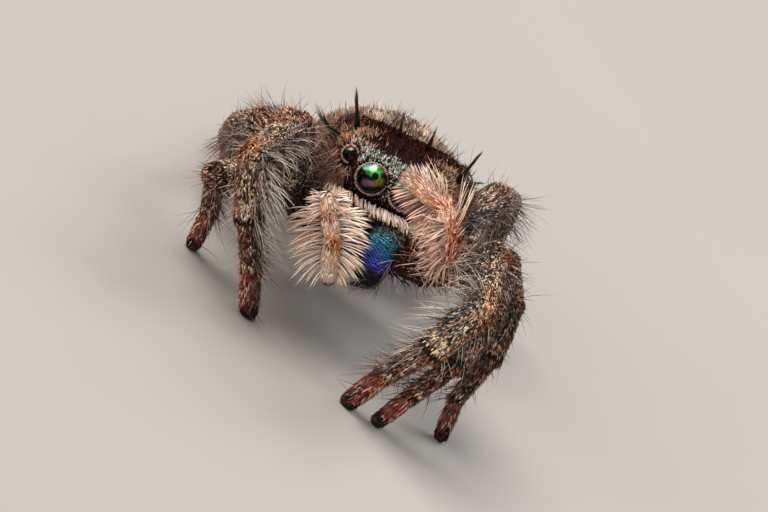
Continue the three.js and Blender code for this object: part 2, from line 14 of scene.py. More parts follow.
import bpy
import numpy as np
from mathutils import Matrix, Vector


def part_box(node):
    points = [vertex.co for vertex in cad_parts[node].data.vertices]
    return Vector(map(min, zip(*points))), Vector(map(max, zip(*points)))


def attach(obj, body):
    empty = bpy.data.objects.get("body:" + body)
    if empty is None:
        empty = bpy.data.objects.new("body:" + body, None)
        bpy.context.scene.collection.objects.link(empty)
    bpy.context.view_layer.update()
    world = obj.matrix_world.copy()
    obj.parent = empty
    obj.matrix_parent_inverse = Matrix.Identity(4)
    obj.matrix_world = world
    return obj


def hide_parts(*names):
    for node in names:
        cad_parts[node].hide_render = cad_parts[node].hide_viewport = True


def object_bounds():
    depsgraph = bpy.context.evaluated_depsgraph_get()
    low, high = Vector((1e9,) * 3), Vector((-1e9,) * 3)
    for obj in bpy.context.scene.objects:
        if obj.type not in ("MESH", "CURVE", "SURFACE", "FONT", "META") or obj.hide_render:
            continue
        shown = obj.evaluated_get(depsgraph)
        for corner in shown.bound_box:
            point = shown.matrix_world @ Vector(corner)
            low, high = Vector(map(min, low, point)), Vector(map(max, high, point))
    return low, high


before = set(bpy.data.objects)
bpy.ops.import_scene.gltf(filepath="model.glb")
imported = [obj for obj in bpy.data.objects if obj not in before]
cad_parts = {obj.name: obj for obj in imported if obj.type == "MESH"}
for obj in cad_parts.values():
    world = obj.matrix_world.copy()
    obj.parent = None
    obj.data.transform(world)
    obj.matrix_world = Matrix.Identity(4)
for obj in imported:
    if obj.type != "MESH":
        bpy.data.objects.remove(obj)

Array = np.ndarray
Rng = np.random.Generator
Point = tuple[float, float, float]
LOG = logging.getLogger("spider")
MM = 0.001
TINY = 1e-9
FLOOR_CLEARANCE = 0.004
BACKWARDS = np.array([0.0, 1.0, 0.0])


# ---- small mathematics


def unit(vectors: Array) -> Array:
    """Vectors scaled to length 1."""
    return vectors / np.maximum(np.linalg.norm(vectors, axis=-1, keepdims=True), TINY)


def dot(a: Array, b: Array) -> Array:
    """Row-by-row dot product, kept as a column."""
    return np.sum(a * b, axis=-1, keepdims=True)


def smooth(low: float, high: float, values: Array) -> Array:
    """0 below low, 1 above high and an S curve between."""
    share = np.clip((values - low) / (high - low), 0.0, 1.0)
    return share * share * (3.0 - 2.0 * share)


def bell(values: Array, centre: float, width: float) -> Array:
    """A bell curve of height 1 about a centre."""
    return np.exp(-(((values - centre) / width) ** 2))


def at_station(stations: list[tuple[float, float]], places: Array) -> Array:
    """Reads a value at each place, by an S curve from station to station.

    Args:
        stations: (place, value) pairs, in rising order.
        places: where to read.

    Returns:
        The value at each place.
    """
    knots, values = np.array(stations, float).T
    i = np.clip(np.searchsorted(knots, places) - 1, 0, len(knots) - 2)
    share = smooth(0.0, 1.0, (places - knots[i]) / (knots[i + 1] - knots[i]))
    return values[i] + (values[i + 1] - values[i]) * share


def turn_about(axis: str, degrees: float) -> Array:
    """The matrix of a right-handed turn about "x", "y" or "z"."""
    c, s = np.cos(np.radians(degrees)), np.sin(np.radians(degrees))
    return {
        "x": np.array([[1, 0, 0], [0, c, -s], [0, s, c]]),
        "y": np.array([[c, 0, s], [0, 1, 0], [-s, 0, c]]),
        "z": np.array([[c, -s, 0], [s, c, 0], [0, 0, 1]]),
    }[axis]


def mottle(points: Array, scale: float, seed: int) -> Array:
    """Smooth blotches: the mean of eight sine waves that run in drawn directions.

    Args:
        points: the places to read.
        scale: the size of a blotch, in millimetres.
        seed: which pattern.

    Returns:
        A value from -1 to 1 for each place.
    """
    rng = np.random.default_rng(seed)
    ways = unit(rng.normal(size=(8, 3))) * rng.uniform(0.6, 1.6, (8, 1)) * 2 * np.pi / scale
    waves = np.sin(points @ ways.T + rng.uniform(0, 2 * np.pi, 8))
    return np.clip(waves.mean(axis=-1) * 2.0, -1.0, 1.0)


def linear(shade: str) -> Array:
    """A hex colour as linear red, green and blue."""
    values = np.array([int(shade[i : i + 2], 16) / 255 for i in (0, 2, 4)])
    return np.where(values <= 0.04045, values / 12.92, ((values + 0.055) / 1.055) ** 2.4)


def rgba(shade: str) -> tuple[float, float, float, float]:
    """A hex colour as a linear socket value."""
    return (*linear(shade), 1.0)


def pose(turn: Array, place: Array) -> Matrix:
    """A 4 by 4 matrix from a turn and a place."""
    return Matrix(np.block([[turn, place[:, None]], [np.zeros((1, 3)), np.ones((1, 1))]]))


@dataclass(frozen=True)
class Frame:
    """A turned and moved frame inside the standing frame."""

    turn: Array
    origin: Array

    def place(self, points: Array) -> Array:
        """Points of this frame, in the standing frame."""
        return np.asarray(points, float) @ self.turn.T + self.origin

    def direct(self, vectors: Array) -> Array:
        """Directions of this frame, in the standing frame."""
        return np.asarray(vectors, float) @ self.turn.T

    def local(self, points: Array) -> Array:
        """Points of the standing frame, in this one."""
        return (points - self.origin) @ self.turn


class Side(Enum):
    """The spider's own left is +X."""

    LEFT = 1
    RIGHT = -1

    @property
    def label(self) -> str:
        """The word used in node names."""
        return self.name.lower()

    def mirror(self, place: Point) -> Array:
        """A place given for the left side, on this one."""
        return np.array([self.value * place[0], place[1], place[2]])


FACE_HEIGHT = 3.5
MAIN_EYE = (0.37, -2.2, 1.25)
FACE_CENTRE = np.array([0.0, -2.12, MAIN_EYE[2]])
BODY_TURN = turn_about("y", -12.0) @ turn_about("x", -5.0)
BODY = Frame(BODY_TURN, np.array([0.0, 0.0, FACE_HEIGHT]) - BODY_TURN @ FACE_CENTRE)
HINDBODY = Frame(
    turn_about("z", 6.0) @ turn_about("y", -14.0) @ turn_about("x", -7.0),
    np.array([0.06, 7.0, 1.62]),
)


def row_shift() -> Array:
    """The move to the row's frame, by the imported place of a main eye, in millimetres."""
    low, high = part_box("eye_anterior_median_left")
    centre = (np.array(low) + np.array(high)) / 2 / MM
    return centre - BODY.place(MAIN_EYE)


SHIFT = row_shift()
BOX = np.array([list(corner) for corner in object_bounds()]) / MM - SHIFT
BOX_MARGIN = np.array([0.12, 0.2, 0.07])  # how far a hair may stand out of the box


# ---- meshes


def make_mesh(name: str, points: Array, faces: list[Array], tints: Array | None = None,
              patches: Array | None = None) -> bpy.types.Object:
    """Puts arrays into a new smooth-shaded mesh object in the row's frame.

    Args:
        name: the piece's name.
        points: (n, 3) places in the standing frame, in millimetres.
        faces: arrays of vertex numbers, one array for each number of corners.
        tints: (n, 3) linear colours, kept as the attribute "tint".
        patches: (n, 2) places on the map OFBake.

    Returns:
        The new object.
    """
    mesh = bpy.data.meshes.new(name)
    corners = np.concatenate([f.ravel() for f in faces]).astype(np.int32)
    sizes = np.concatenate([np.full(len(f), f.shape[1]) for f in faces])
    starts = np.concatenate([[0], np.cumsum(sizes)[:-1]]).astype(np.int32)
    mesh.vertices.add(len(points))
    mesh.vertices.foreach_set("co", ((points + SHIFT) * MM).astype(np.float32).ravel())
    mesh.loops.add(len(corners))
    mesh.loops.foreach_set("vertex_index", corners)
    mesh.polygons.add(len(sizes))
    mesh.polygons.foreach_set("loop_start", starts)
    mesh.polygons.foreach_set("use_smooth", np.ones(len(sizes), bool))
    mesh.update(calc_edges=True)
    if tints is not None:
        layer = mesh.color_attributes.new(name="tint", type="FLOAT_COLOR", domain="POINT")
        values = np.column_stack([tints, np.ones(len(tints))])
        layer.data.foreach_set("color", values.astype(np.float32).ravel())
    if patches is not None:
        layer = mesh.uv_layers.new(name="OFBake")
        layer.data.foreach_set("uv", patches[corners].astype(np.float32).ravel())
    mesh.validate()
    piece = bpy.data.objects.new(name, mesh)
    bpy.context.scene.collection.objects.link(piece)
    return piece


@dataclass
class Roots:
    """Places on a skin where hairs grow, with the skin's normal and its length's direction."""

    at: Array
    normal: Array
    along: Array
    patch: Array

    def only(self, kept: Array) -> "Roots":
        """The roots for which kept is true."""
        return Roots(self.at[kept], self.normal[kept], self.along[kept], self.patch[kept])


def unrolled(grid: Array) -> Array:
    """A grid's entries as one list, with each pole kept once."""
    columns, flat = grid.shape[1], grid.reshape(-1, 3)
    return np.concatenate([flat[:1], flat[columns:-columns], flat[-1:]])


@dataclass
class Surface:
    """A closed surface as a grid of places: rows run from pole to pole, columns run round."""

    points: Array

    def faces(self, start: int = 0) -> list[Array]:
        """Numbers the corners of the quads between rows and of the fans at the poles.

        Args:
            start: the number of the surface's first vertex.

        Returns:
            The quads and the triangles, which face outwards.
        """
        rows, columns = self.points.shape[:2]
        ring = np.arange(columns)
        after = np.roll(ring, -1)
        first = 1 + start + np.arange(rows - 3)[:, None] * columns
        quads = np.stack(
            [first + ring, first + after, first + columns + after, first + columns + ring], -1
        ).reshape(-1, 4)
        last = 1 + start + (rows - 3) * columns
        near = np.stack([np.full(columns, start), start + 1 + after, start + 1 + ring], -1)
        far = np.stack([last + ring, last + after, np.full(columns, last + columns)], -1)
        if self.inside_out():
            return [quads[:, ::-1], np.concatenate([near, far])[:, ::-1]]
        return [quads, np.concatenate([near, far])]

    def vertices(self) -> Array:
        """The mesh's places, in the order that faces counts them."""
        return unrolled(self.points)

    def corners(self) -> tuple[Array, Array, Array, Array]:
        """The four corners of each cell, in order round it."""
        low, high = self.points[:-1], self.points[1:]
        return low, np.roll(low, -1, 1), np.roll(high, -1, 1), high

    def cell_cross(self) -> Array:
        """Twice the area vector of each cell, by its diagonals."""
        a, b, c, d = self.corners()
        return np.cross(c - a, d - b)

    def inside_out(self) -> bool:
        """Whether the cells' area vectors point inwards."""
        outwards = self.cells() - self.points.mean(axis=(0, 1))
        return float(np.sum(outwards * self.cell_cross())) < 0

    def cells(self) -> Array:
        """The middle of each cell."""
        a, b, c, d = self.corners()
        return (a + b + d + c) / 4

    def normals(self) -> Array:
        """Outward normals of the cells."""
        return unit(self.cell_cross()) * (-1.0 if self.inside_out() else 1.0)

    def lifted(self, height: Array) -> "Surface":
        """Moves each grid point outwards, along the mean normal of the cells round it.

        Args:
            height: how far, for each grid point.

        Returns:
            The moved surface.
        """
        faces = self.normals()
        padded = np.concatenate([faces[:1], faces, faces[-1:]])
        mean = padded[:-1] + padded[1:]
        normals = unit(mean + np.roll(mean, 1, 1))
        normals[0], normals[-1] = unit(normals[0].mean(0)), unit(normals[-1].mean(0))
        return Surface(self.points + normals * height[..., None])

    def scatter(self, count: int, rng: Rng, weight: Array | None = None,
                tile: int = 0, tiles: int = 1) -> Roots:
        """Draws roots evenly over the area, times a weight for each cell.

        Args:
            count: number of roots.
            rng: source of chance.
            weight: (rows - 1, columns) shares, or None for an even spread.
            tile: the surface's number among those that share a piece's map.
            tiles: how many tiles the map has along each side.

        Returns:
            The drawn roots. Their patches are the cell's row and column on an unwrap.
        """
        cross = self.cell_cross()
        share = np.linalg.norm(cross, axis=-1) * (1.0 if weight is None else weight + TINY)
        picked = rng.choice(share.size, count, p=(share / share.sum()).ravel())
        i, j = np.unravel_index(picked, share.shape)
        across, down = rng.random((2, count, 1))
        a, b, c, d = self.corners()
        near = a[i, j] * (1 - across) + b[i, j] * across
        far = d[i, j] * (1 - across) + c[i, j] * across
        place = np.concatenate([(j[:, None] + across) / share.shape[1],
                                (i[:, None] + down) / share.shape[0]], -1)
        corner = np.array([tile % tiles, tile // tiles], float)
        return Roots(
            near * (1 - down) + far * down, self.normals()[i, j], unit(far - near + TINY),
            (corner + 0.02 + 0.94 * place) / tiles,
        )


def sphere_directions(rows: int, columns: int) -> Array:
    """Spreads directions evenly in latitude and longitude, from the -Y pole to the +Y pole.

    Args:
        rows: how many from pole to pole.
        columns: how many round.

    Returns:
        A grid of unit directions.
    """
    v = np.linspace(-np.pi / 2, np.pi / 2, rows)[:, None]
    u = np.arange(columns)[None] * 2 * np.pi / columns
    ring = np.maximum(np.cos(v), 0.0)
    return np.stack([ring * np.cos(u), np.sin(v) + 0 * u, ring * np.sin(u)], -1)


# ---- shader expressions


class Value:
    """A shader socket that Python's operators work on."""

    def __init__(self, shader: "Shader", socket: bpy.types.NodeSocket) -> None:
        """Wraps a socket of a shader's tree."""
        self.shader = shader
        self.socket = socket

    def __add__(self, other: "Value | float") -> "Value":
        """The sum."""
        return self.shader.math("ADD", self, other)

    def __sub__(self, other: "Value | float") -> "Value":
        """The difference."""
        return self.shader.math("SUBTRACT", self, other)

    def __rsub__(self, other: float) -> "Value":
        """The difference from a number."""
        return self.shader.math("SUBTRACT", other, self)

    def __mul__(self, other: "Value | float") -> "Value":
        """The product."""
        return self.shader.math("MULTIPLY", self, other)

    def __truediv__(self, other: "Value | float") -> "Value":
        """The quotient."""
        return self.shader.math("DIVIDE", self, other)

    __radd__ = __add__
    __rmul__ = __mul__

    def root(self) -> "Value":
        """The square root."""
        return self.shader.math("SQRT", self)

    def clamped(self) -> "Value":
        """The value held between 0 and 1."""
        return self.shader.node("ShaderNodeClamp", {}, {0: self})


class Shader:
    """One material's node tree."""

    def __init__(self, name: str) -> None:
        """Starts an empty material of that name."""
        self.material = bpy.data.materials.new(name)
        self.material.use_nodes = True
        self.tree = self.material.node_tree
        self.tree.nodes.clear()

    def node(self, kind: str, settings: dict, inputs: dict, output: int | str = 0) -> Value:
        """Adds a node.

        Args:
            kind: the node's type.
            settings: its properties.
            inputs: values or links, by socket name or number.
            output: which output to return.

        Returns:
            The chosen output.
        """
        made = self.tree.nodes.new(kind)
        for name, setting in settings.items():
            setattr(made, name, setting)
        for name, given in inputs.items():
            if isinstance(given, Value):
                self.tree.links.new(given.socket, made.inputs[name])
            else:
                made.inputs[name].default_value = given
        return Value(self, made.outputs[output])

    def math(self, operation: str, *values: "Value | float") -> Value:
        """A Math node on values and numbers."""
        return self.node("ShaderNodeMath", {"operation": operation}, dict(enumerate(values)))

    def mix(self, share: "Value | float", a: "Value | tuple", b: "Value | tuple",
            blend: str = "MIX") -> Value:
        """Two colours mixed by a share."""
        settings = {"data_type": "RGBA", "blend_type": blend}
        return self.node("ShaderNodeMix", settings, {0: share, 6: a, 7: b}, 2)

    def place(self) -> Value:
        """The surface's place in millimetres in the row's frame."""
        here = self.node("ShaderNodeTexCoord", {}, {}, "Object")
        return self.node("ShaderNodeVectorMath", {"operation": "SCALE"},
                         {0: here, "Scale": 1 / MM})

    def along(self, centre: Array, axis: Array) -> Value:
        """How far the surface lies from a standing-frame place along an axis."""
        offset = self.node("ShaderNodeVectorMath", {"operation": "SUBTRACT"},
                           {0: self.place(), 1: tuple(centre + SHIFT)})
        return self.node("ShaderNodeVectorMath", {"operation": "DOT_PRODUCT"},
                         {0: offset, 1: tuple(axis)}, "Value")

    def noise(self, scale: float, detail: float = 3.0, roughness: float = 0.55) -> Value:
        """Noise whose blotches are about 1 / scale millimetres across."""
        return self.node("ShaderNodeTexNoise", {},
                         {"Vector": self.place(), "Scale": scale, "Detail": detail,
                          "Roughness": roughness})

    def tint(self) -> Value:
        """The colour that the mesh carries."""
        return self.node("ShaderNodeAttribute", {"attribute_name": "tint"}, {}, "Color")

    def bump(self, height: Value, strength: float, distance: float) -> Value:
        """A bumped normal; distance is in millimetres."""
        return self.node("ShaderNodeBump", {},
                         {"Strength": strength, "Distance": distance * MM, "Height": height})

    def finish(self, **sockets: "Value | float | tuple") -> bpy.types.Material:
        """Ends the tree in a Principled shader.

        Args:
            sockets: values or links for its sockets, named with _ for spaces.

        Returns:
            The material.
        """
        named = {name.replace("_", " "): value for name, value in sockets.items()}
        surface = self.node("ShaderNodeBsdfPrincipled", {}, named)
        output = self.tree.nodes.new("ShaderNodeOutputMaterial")
        self.tree.links.new(surface.socket, output.inputs["Surface"])
        return self.material


# ---- finishes


@dataclass(frozen=True)
class Cuticle:
    """Bare skin: the mesh's own colour with fine grain."""

    name: str = "cuticle"
    roughness: float = 0.55
    grain: float = 9.0
    gloss: float = 0.07

    def material(self) -> bpy.types.Material:
        """Builds the shader.

        Returns:
            The material.
        """
        shader = Shader(self.name)
        grain = shader.noise(self.grain, 5.0)
        pores = shader.noise(self.grain * 3.5, 2.0)
        shade = shader.mix(grain, (0.55, 0.5, 0.48, 1), (1.5, 1.4, 1.35, 1))
        colour = shader.mix(1.0, shader.tint(), shade, "MULTIPLY")
        rough = shader.math("MULTIPLY_ADD", grain, 0.3, self.roughness - 0.15)
        return shader.finish(Base_Color=colour, Roughness=rough, Specular_IOR_Level=self.gloss,
                             Normal=shader.bump(grain * 0.6 + pores * 0.4, 0.5, 0.03))


@dataclass(frozen=True)
class HairFinish:
    """Hair: the mesh's own colour, a little uneven, with a soft gloss."""

    name: str
    roughness: float = 0.5
    metallic: float = 0.0
    gloss: float = 0.3

    def material(self) -> bpy.types.Material:
        """Builds the shader.

        Returns:
            The material.
        """
        shader = Shader(self.name)
        streak = shader.noise(14.0, 2.0)
        shade = shader.mix(streak, (0.72, 0.7, 0.68, 1), (1.25, 1.24, 1.22, 1))
        colour = shader.mix(1.0, shader.tint(), shade, "MULTIPLY")
        rough = shader.math("MULTIPLY_ADD", streak, 0.25, self.roughness - 0.12)
        return shader.finish(Base_Color=colour, Roughness=rough, Metallic=self.metallic,
                             Specular_IOR_Level=self.gloss)


@dataclass(frozen=True)
class Glint:
    """A soft-edged oval of colour on an eye, in eye radii from its middle; most are painted
    reflections and highlights.
    """

    shade: str
    x: float
    y: float
    wide: float
    high: float
    hardness: float = 3.0
    metal: float = 0.0


# ---- hairs


class Outline(Enum):
    """A hair's width at its rings, from root to tip, as shares of its full width."""

    NEEDLE = (1.0, 0.8, 0.5)
    LANCE = (0.65, 1.0, 0.75)
    SCALE = (0.7, 1.0)
    LOCK = (1.0, 0.7)
    RIBBON = (0.55, 0.85, 1.0, 1.0, 0.85)


@dataclass(frozen=True)
class Hair:
    """One kind of hair: lengths in millimetres, angles in degrees, the rest as shares.

    Spread is how much the lengths vary and disorder how far the lie strays. Curl bends the
    tip along the skin and droop towards it. Flatness is the thickness as a share of the
    width. The last field is the brightness at the root, partly the hair's own darker base
    and partly painted shade deep in the coat.
    """

    length: float
    width: float
    rise: float = 18.0
    outline: Outline = Outline.SCALE
    spread: float = 0.25
    disorder: float = 0.15
    curl: float = 0.0
    droop: float = 0.1
    flatness: float = 0.5
    root_tone_and_shade: float = 0.5


@dataclass(frozen=True)
class Palette:
    """Hair colours, each followed by how often it is drawn."""

    pairs: str

    def table(self) -> tuple[Array, Array]:
        """The linear colours, and how often each is drawn."""
        shades, shares = zip(*(pair.split() for pair in self.pairs.split(", ")))
        return np.array([linear(shade) for shade in shades]), np.array(shares, float)

    def draw(self, count: int, rng: Rng) -> Array:
        """Linear colours for a number of hairs, each a little lighter or darker."""
        colours, shares = self.table()
        picked = rng.choice(len(shares), count, p=shares / shares.sum())
        return colours[picked] * rng.uniform(0.75, 1.2, (count, 1))

    def repaint(self, tints: Array, chosen: Array, rng: Rng) -> None:
        """Draws new colours for the chosen rows of tints."""
        tints[chosen] = self.draw(int(chosen.sum()), rng)

    def mean(self) -> Array:
        """The average colour."""
        colours, shares = self.table()
        return (colours * shares[:, None]).sum(0) / shares.sum()


class Coat:
    """The hairs of one piece, gathered as arrays until they are built."""

    PATCH = 0.003      # a hair's patch on the map
    SINK = 0.02        # how deep a root starts
    ROOT_FADE = 1.6    # one over the share of the length that the root's shade fades over

    def __init__(self, name: str, slot: str, finish: HairFinish, rng: Rng) -> None:
        """Starts an empty coat.

        Args:
            name: the piece's name.
            slot: the name of a material slot, which is not used.
            finish: what its hair is made of.
            rng: source of chance.
        """
        self.name, self.slot, self.finish, self.rng = name, slot, finish, rng
        self.points: list[Array] = []
        self.quads: list[Array] = []
        self.triangles: list[Array] = []
        self.tints: list[Array] = []
        self.patches: list[Array] = []
        self.count = 0

    def grow(self, roots: Roots, towards: Array, kind: Hair, tints: Array | Palette,
             scale: Array | float = 1.0, rise: Array | None = None,
             facing: Array | None = None) -> None:
        """Adds a hair at each root.

        A hair's middle line is root + length (s lie + s^2 (curl flat - droop normal)), for s
        from 0 to 1, where flat is the way it lies along the skin and lie is flat raised by
        the hair's rise. Three corners stand round that line, thin along the facing side. A
        rise above 90 degrees leans the hair backwards.

        Args:
            roots: where the hairs grow.
            towards: the direction or directions that they are combed.
            kind: their sizes.
            tints: (n, 3) linear colours, or the palette to draw them from.
            scale: a factor on each length.
            rise: the rise of each hair, where it isn't the kind's.
            facing: the way the hairs' flat sides face, where it isn't the skin's normal.
        """
        normal, rng = roots.normal, self.rng
        count = len(normal)
        if isinstance(tints, Palette):
            tints = tints.draw(count, rng)
        flat = unit(towards - dot(normal, towards + 0 * normal) * normal)
        flat = unit(flat + kind.disorder * rng.normal(size=(count, 3)))
        flat = unit(flat - dot(flat, normal) * normal)
        loose = min(0.35, 1.5 * kind.disorder + 0.05)
        steep = np.reshape(kind.rise if rise is None else rise, (-1, 1))
        tilt = np.radians(np.clip(steep * rng.uniform(1 - loose, 1 + loose, (count, 1)), 3, 160))
        lie = flat * np.cos(tilt) + normal * np.sin(tilt)
        length = kind.length * rng.uniform(1 - kind.spread, 1 + kind.spread, (count, 1))
        length = length * np.reshape(scale, (-1, 1))
        swerve = kind.curl * rng.uniform(0.4, 1.6, (count, 1)) * flat - kind.droop * normal
        tip = roots.at + length * (lie + swerve)
        kept = (tip[:, 2] > FLOOR_CLEARANCE * 3) & np.all(
            (tip > BOX[0] - BOX_MARGIN) & (tip < BOX[1] + BOX_MARGIN), axis=-1)
        flank = (normal if facing is None else facing + 0 * normal)[kept]
        self.add_tubes(roots.only(kept), lie[kept], swerve[kept], length[kept], kind,
                       tints[kept], flank)

    def add_tubes(self, roots: Roots, lie: Array, swerve: Array, length: Array, kind: Hair,
                  tints: Array, flank: Array) -> None:
        """Works out the tubes' corners and faces, and keeps them.

        Args:
            roots: where the tubes grow.
            lie: (n, 3) directions at the root.
            swerve: (n, 3) bends, as shares of the length.
            length: (n, 1) lengths.
            kind: their other sizes.
            tints: (n, 3) linear colours.
            flank: (n, 3) ways that the flat sides face.
        """
        widths = np.array(kind.outline.value)
        rings = len(widths)
        s = (np.arange(rings) / rings)[None, :, None]
        foot = roots.at - self.SINK * roots.normal
        middle = foot[:, None] + length[:, None] * (s * lie[:, None] + s * s * swerve[:, None])
        tangent = unit(lie[:, None] + 2 * s * swerve[:, None])
        across = unit(np.cross(tangent, flank[:, None]))
        upwards = np.cross(across, tangent)
        half = kind.width / 2 * widths[None, :, None]
        half = half * self.rng.uniform(0.8, 1.2, (len(lie), 1, 1))
        angles = np.radians([90, 210, 330])
        corners = np.stack(
            [middle + half * (np.cos(a) * across + kind.flatness * np.sin(a) * upwards)
             for a in angles], 2,
        )
        tips = roots.at + length * (lie + swerve)
        count, size = len(lie), 3 * rings + 1
        points = np.concatenate([corners.reshape(count, -1, 3), tips[:, None]], 1)
        points[..., 2] = np.maximum(points[..., 2], FLOOR_CLEARANCE)
        reach = np.append(np.repeat(np.arange(rings) / rings, 3), 1.0)
        # Painted shade: each hair darkens towards its root, partly its own darker base and partly
        # shade deep in the coat.
        shade = kind.root_tone_and_shade + (1 - kind.root_tone_and_shade) * np.clip(reach * self.ROOT_FADE, 0, 1)
        offset = np.stack([np.append(np.tile([0.1, 0.5, 0.9], rings), 0.5), reach], -1)
        start = self.count + np.arange(count)[:, None, None] * size
        ring = np.arange(3)
        low = (np.arange(rings - 1)[:, None] * 3 + ring)[..., None]
        turn = (np.arange(rings - 1)[:, None] * 3 + (ring + 1) % 3)[..., None]
        quads = np.concatenate([low, turn, turn + 3, low + 3], -1).reshape(1, -1, 4)
        last = 3 * (rings - 1)
        ends = np.array([[last + i, last + (i + 1) % 3, last + 3] for i in range(3)]
                        + [[2, 1, 0]])[None]
        self.points.append(points.reshape(-1, 3))
        self.quads.append((start + quads).reshape(-1, 4))
        self.triangles.append((start + ends).reshape(-1, 3))
        self.tints.append((tints[:, None] * shade[None, :, None]).reshape(-1, 3))
        self.patches.append((roots.patch[:, None] + self.PATCH * offset).reshape(-1, 2))
        self.count += count * size

    def build(self) -> None:
        """Makes the piece, dresses it and ties it to the body."""
        faces = [np.concatenate(self.quads), np.concatenate(self.triangles)]
        piece = make_mesh(self.name, np.concatenate(self.points), faces,
                          np.concatenate(self.tints), np.concatenate(self.patches))
        settle(piece, self.finish.material())


def settle(piece: bpy.types.Object, material: bpy.types.Material,
           nodes: list[str] | None = None) -> None:
    """Dresses a piece, ties it to the body and reports it.

    Args:
        piece: the finished mesh object.
        material: its material.
        nodes: the solids that it stands for, if any.
    """
    piece.data.materials.append(material)
    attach(piece, "root")
    if nodes:
        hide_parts(*nodes)
    LOG.info("%s: %d faces", piece.name, len(piece.data.polygons))


def spread_roots(at: Array, normal: Array, along: Array) -> Roots:
    """Roots placed one by one, on a strip of the map in their own order."""
    share = np.linspace(0.02, 0.95, len(at))
    return Roots(at, unit(normal), unit(along), np.stack([share, 0.5 + 0 * share], -1))


# ---- palettes

FACE_BROWN = Palette("8c6656 4, b48e7e 3, 48302a 4, d0ae9e 2")
FACE_TAN = Palette("b48a70 4, dcbaa0 3, 5e3c2c 4")
FACE_DARK = Palette("140501 5, 2a0a02 4, 481606 2")
FLANK = Palette("846050 4, a88472 3, 4a3026 4")
CREAM = Palette("fdf4ea 5, f0dccc 4, d4b8a4 2")
OPAL = Palette("e8efec 3, 98d8a4 3, d8a8c4 3, 68786e 2, 0c0e0d 9")
PALP_SIDE = Palette("f0d8c6 5, e2c2ac 4, faeee2 3")
PALP_MAUVE = Palette("cca696 4, e0beae 4, a47a6a 2, f0d6c8 2")
PALP_DULL = Palette("ac8678 4, c4a092 3, 8c6558 3, d8b8aa 1")
PALP_FRONT = Palette("f6dccc 5, ffeee2 5, e0b8a4 2, fff6ee 3")
# Dark red-brown for the palps' femurs, partly their own colour and partly painted shade.
PALP_ROOT = Palette("3a1610 4, 642a1c 2, 1e0f0c 3, d4b0a0 2")
PALP_GOLD = Palette("ffb25c 4, ffe6b4 4, e88c40 2")
PALP_RED = Palette("a8502e 3, d8a08a 3, 6e2a1c 3, ecc8b4 1")
PALP_EDGE = Palette("c87c54 3, ecc8b0 4, 8a3e26 2")
PAD = Palette("8a8078 4, b0a69e 3")
BLACK = Palette("14110f 6, 26201c 2")
SPECKLED = Palette("0d0a09 5, f8ca98 6, fff2e0 4, bcb6b4 2, a8603e 1")
GOLD_BAND = Palette("ffd6a2 5, fff2de 5, d08c5c 1")
ORANGE_SPOT = Palette("e0a068 4, f8d2aa 4, 9a5c3c 2, 1c120e 2")
SLATE = Palette("6a6c72 4, 94949a 3, 3a3c42 4, c8c2bc 2")
GREY = Palette("a09a92 4, c8c0b4 5, 6a645e 2, e6ddcf 3")
FRINGE = Palette("cabeb0 4, efe6da 3, 8c7e76 4, 443a36 2")
FUZZ = Palette("947670 4, 5a4440 4, bc9e96 2, 221a16 2")
BROWN = Palette("8e523a 5, c67c5c 3, 2a1a14 3, e4b492 1")
DUSK = Palette("1a120f 5, 402c24 3, 7a5c4e 2")
RUST = Palette("9c4628 4, dc8450 3, 6a2418 2, ecb898 1")
TARSUS = Palette("8a2c1c 5, ecccc0 4, a84a34 3, 26100c 4")
HAZE = Palette("b0866c 4, d6aa8a 3, 86584a 3, 2e1c16 1")
CLAW = Palette("0c0b0b 6, 26262a 3, 54545c 1")
BACK_TAN = Palette("a8826a 4, c4a084 3, 7a5c4a 3")
BACK_GREY = Palette("8a7a6e 4, ac9c8e 3, 5c5048 3")
BACK_DARK = Palette("4e382c 4, 34261f 4, 7a5c48 2")
BACK_PALE = Palette("e4cdb4 4, f2e2cf 3, c8a88a 2")
BACK_LONG = Palette("e0d0c0 4, 3a2c26 3, a08a78 3")
JAW_SILVER = Palette("1c1614 3, b4aeb8 5, 6a626a 2")
EYE_RIM = Palette("ecd2c6 4, c8a498 3, 8c6658 3")
FEELER = Palette("1a1412 5, d8cfc4 2")


# ---- prosoma


@dataclass(frozen=True)
class Eye:
    """One eye of a pair: place and radius in the body frame, for the left side."""

    name: str
    at: Point
    radius: float
    facing: Point
    swell: float
    glints: tuple[Glint, ...]
    polish: float = 0.2

    def centre(self, side: Side) -> Array:
        """The eye's centre in the standing frame."""
        return BODY.place(side.mirror(self.at))

    def axis(self, side: Side) -> Array:
        """The way the eye looks."""
        return unit(BODY.direct(side.mirror(self.facing)))

    def ball(self, side: Side) -> bpy.types.Object:
        """A smooth lens: a sphere with a fine grid."""
        surface = Surface(self.centre(side) + self.radius * sphere_directions(49, 96))
        return make_mesh(f"eye_lens_{self.name}_{side.label}", surface.vertices(),
                         surface.faces())

    def material(self, side: Side, view: "View") -> bpy.types.Material:
        """A black mirror lens with painted reflections: a green crescent tinted by the eye's own
        green layer, with a painted highlight, and mauve and olive reflections below.

        Args:
            side: which of the pair.
            view: the camera, whose right and up set out the painted reflections on the lens.

        Returns:
            The material.
        """
        shader = Shader(f"lens_{self.name}_{side.label}")
        centre = self.centre(side)
        x = shader.along(centre, view.right / self.radius)
        y = shader.along(centre, view.up / self.radius)
        colour: Value | tuple = rgba("030303")
        metal: Value | float = 0.0
        for glint in self.glints:
            dx = (x - glint.x) / glint.wide
            dy = (y - glint.y) / glint.high
            share = ((1.0 - (dx * dx + dy * dy).root()) * glint.hardness).clamped()
            colour = shader.mix(share, colour, rgba(glint.shade))
            metal = share * glint.metal + (1.0 - share) * metal
        return shader.finish(Base_Color=colour, Metallic=metal, Roughness=0.1,
                             Specular_IOR_Level=self.polish, Coat_Weight=self.polish,
                             Coat_Roughness=0.03)


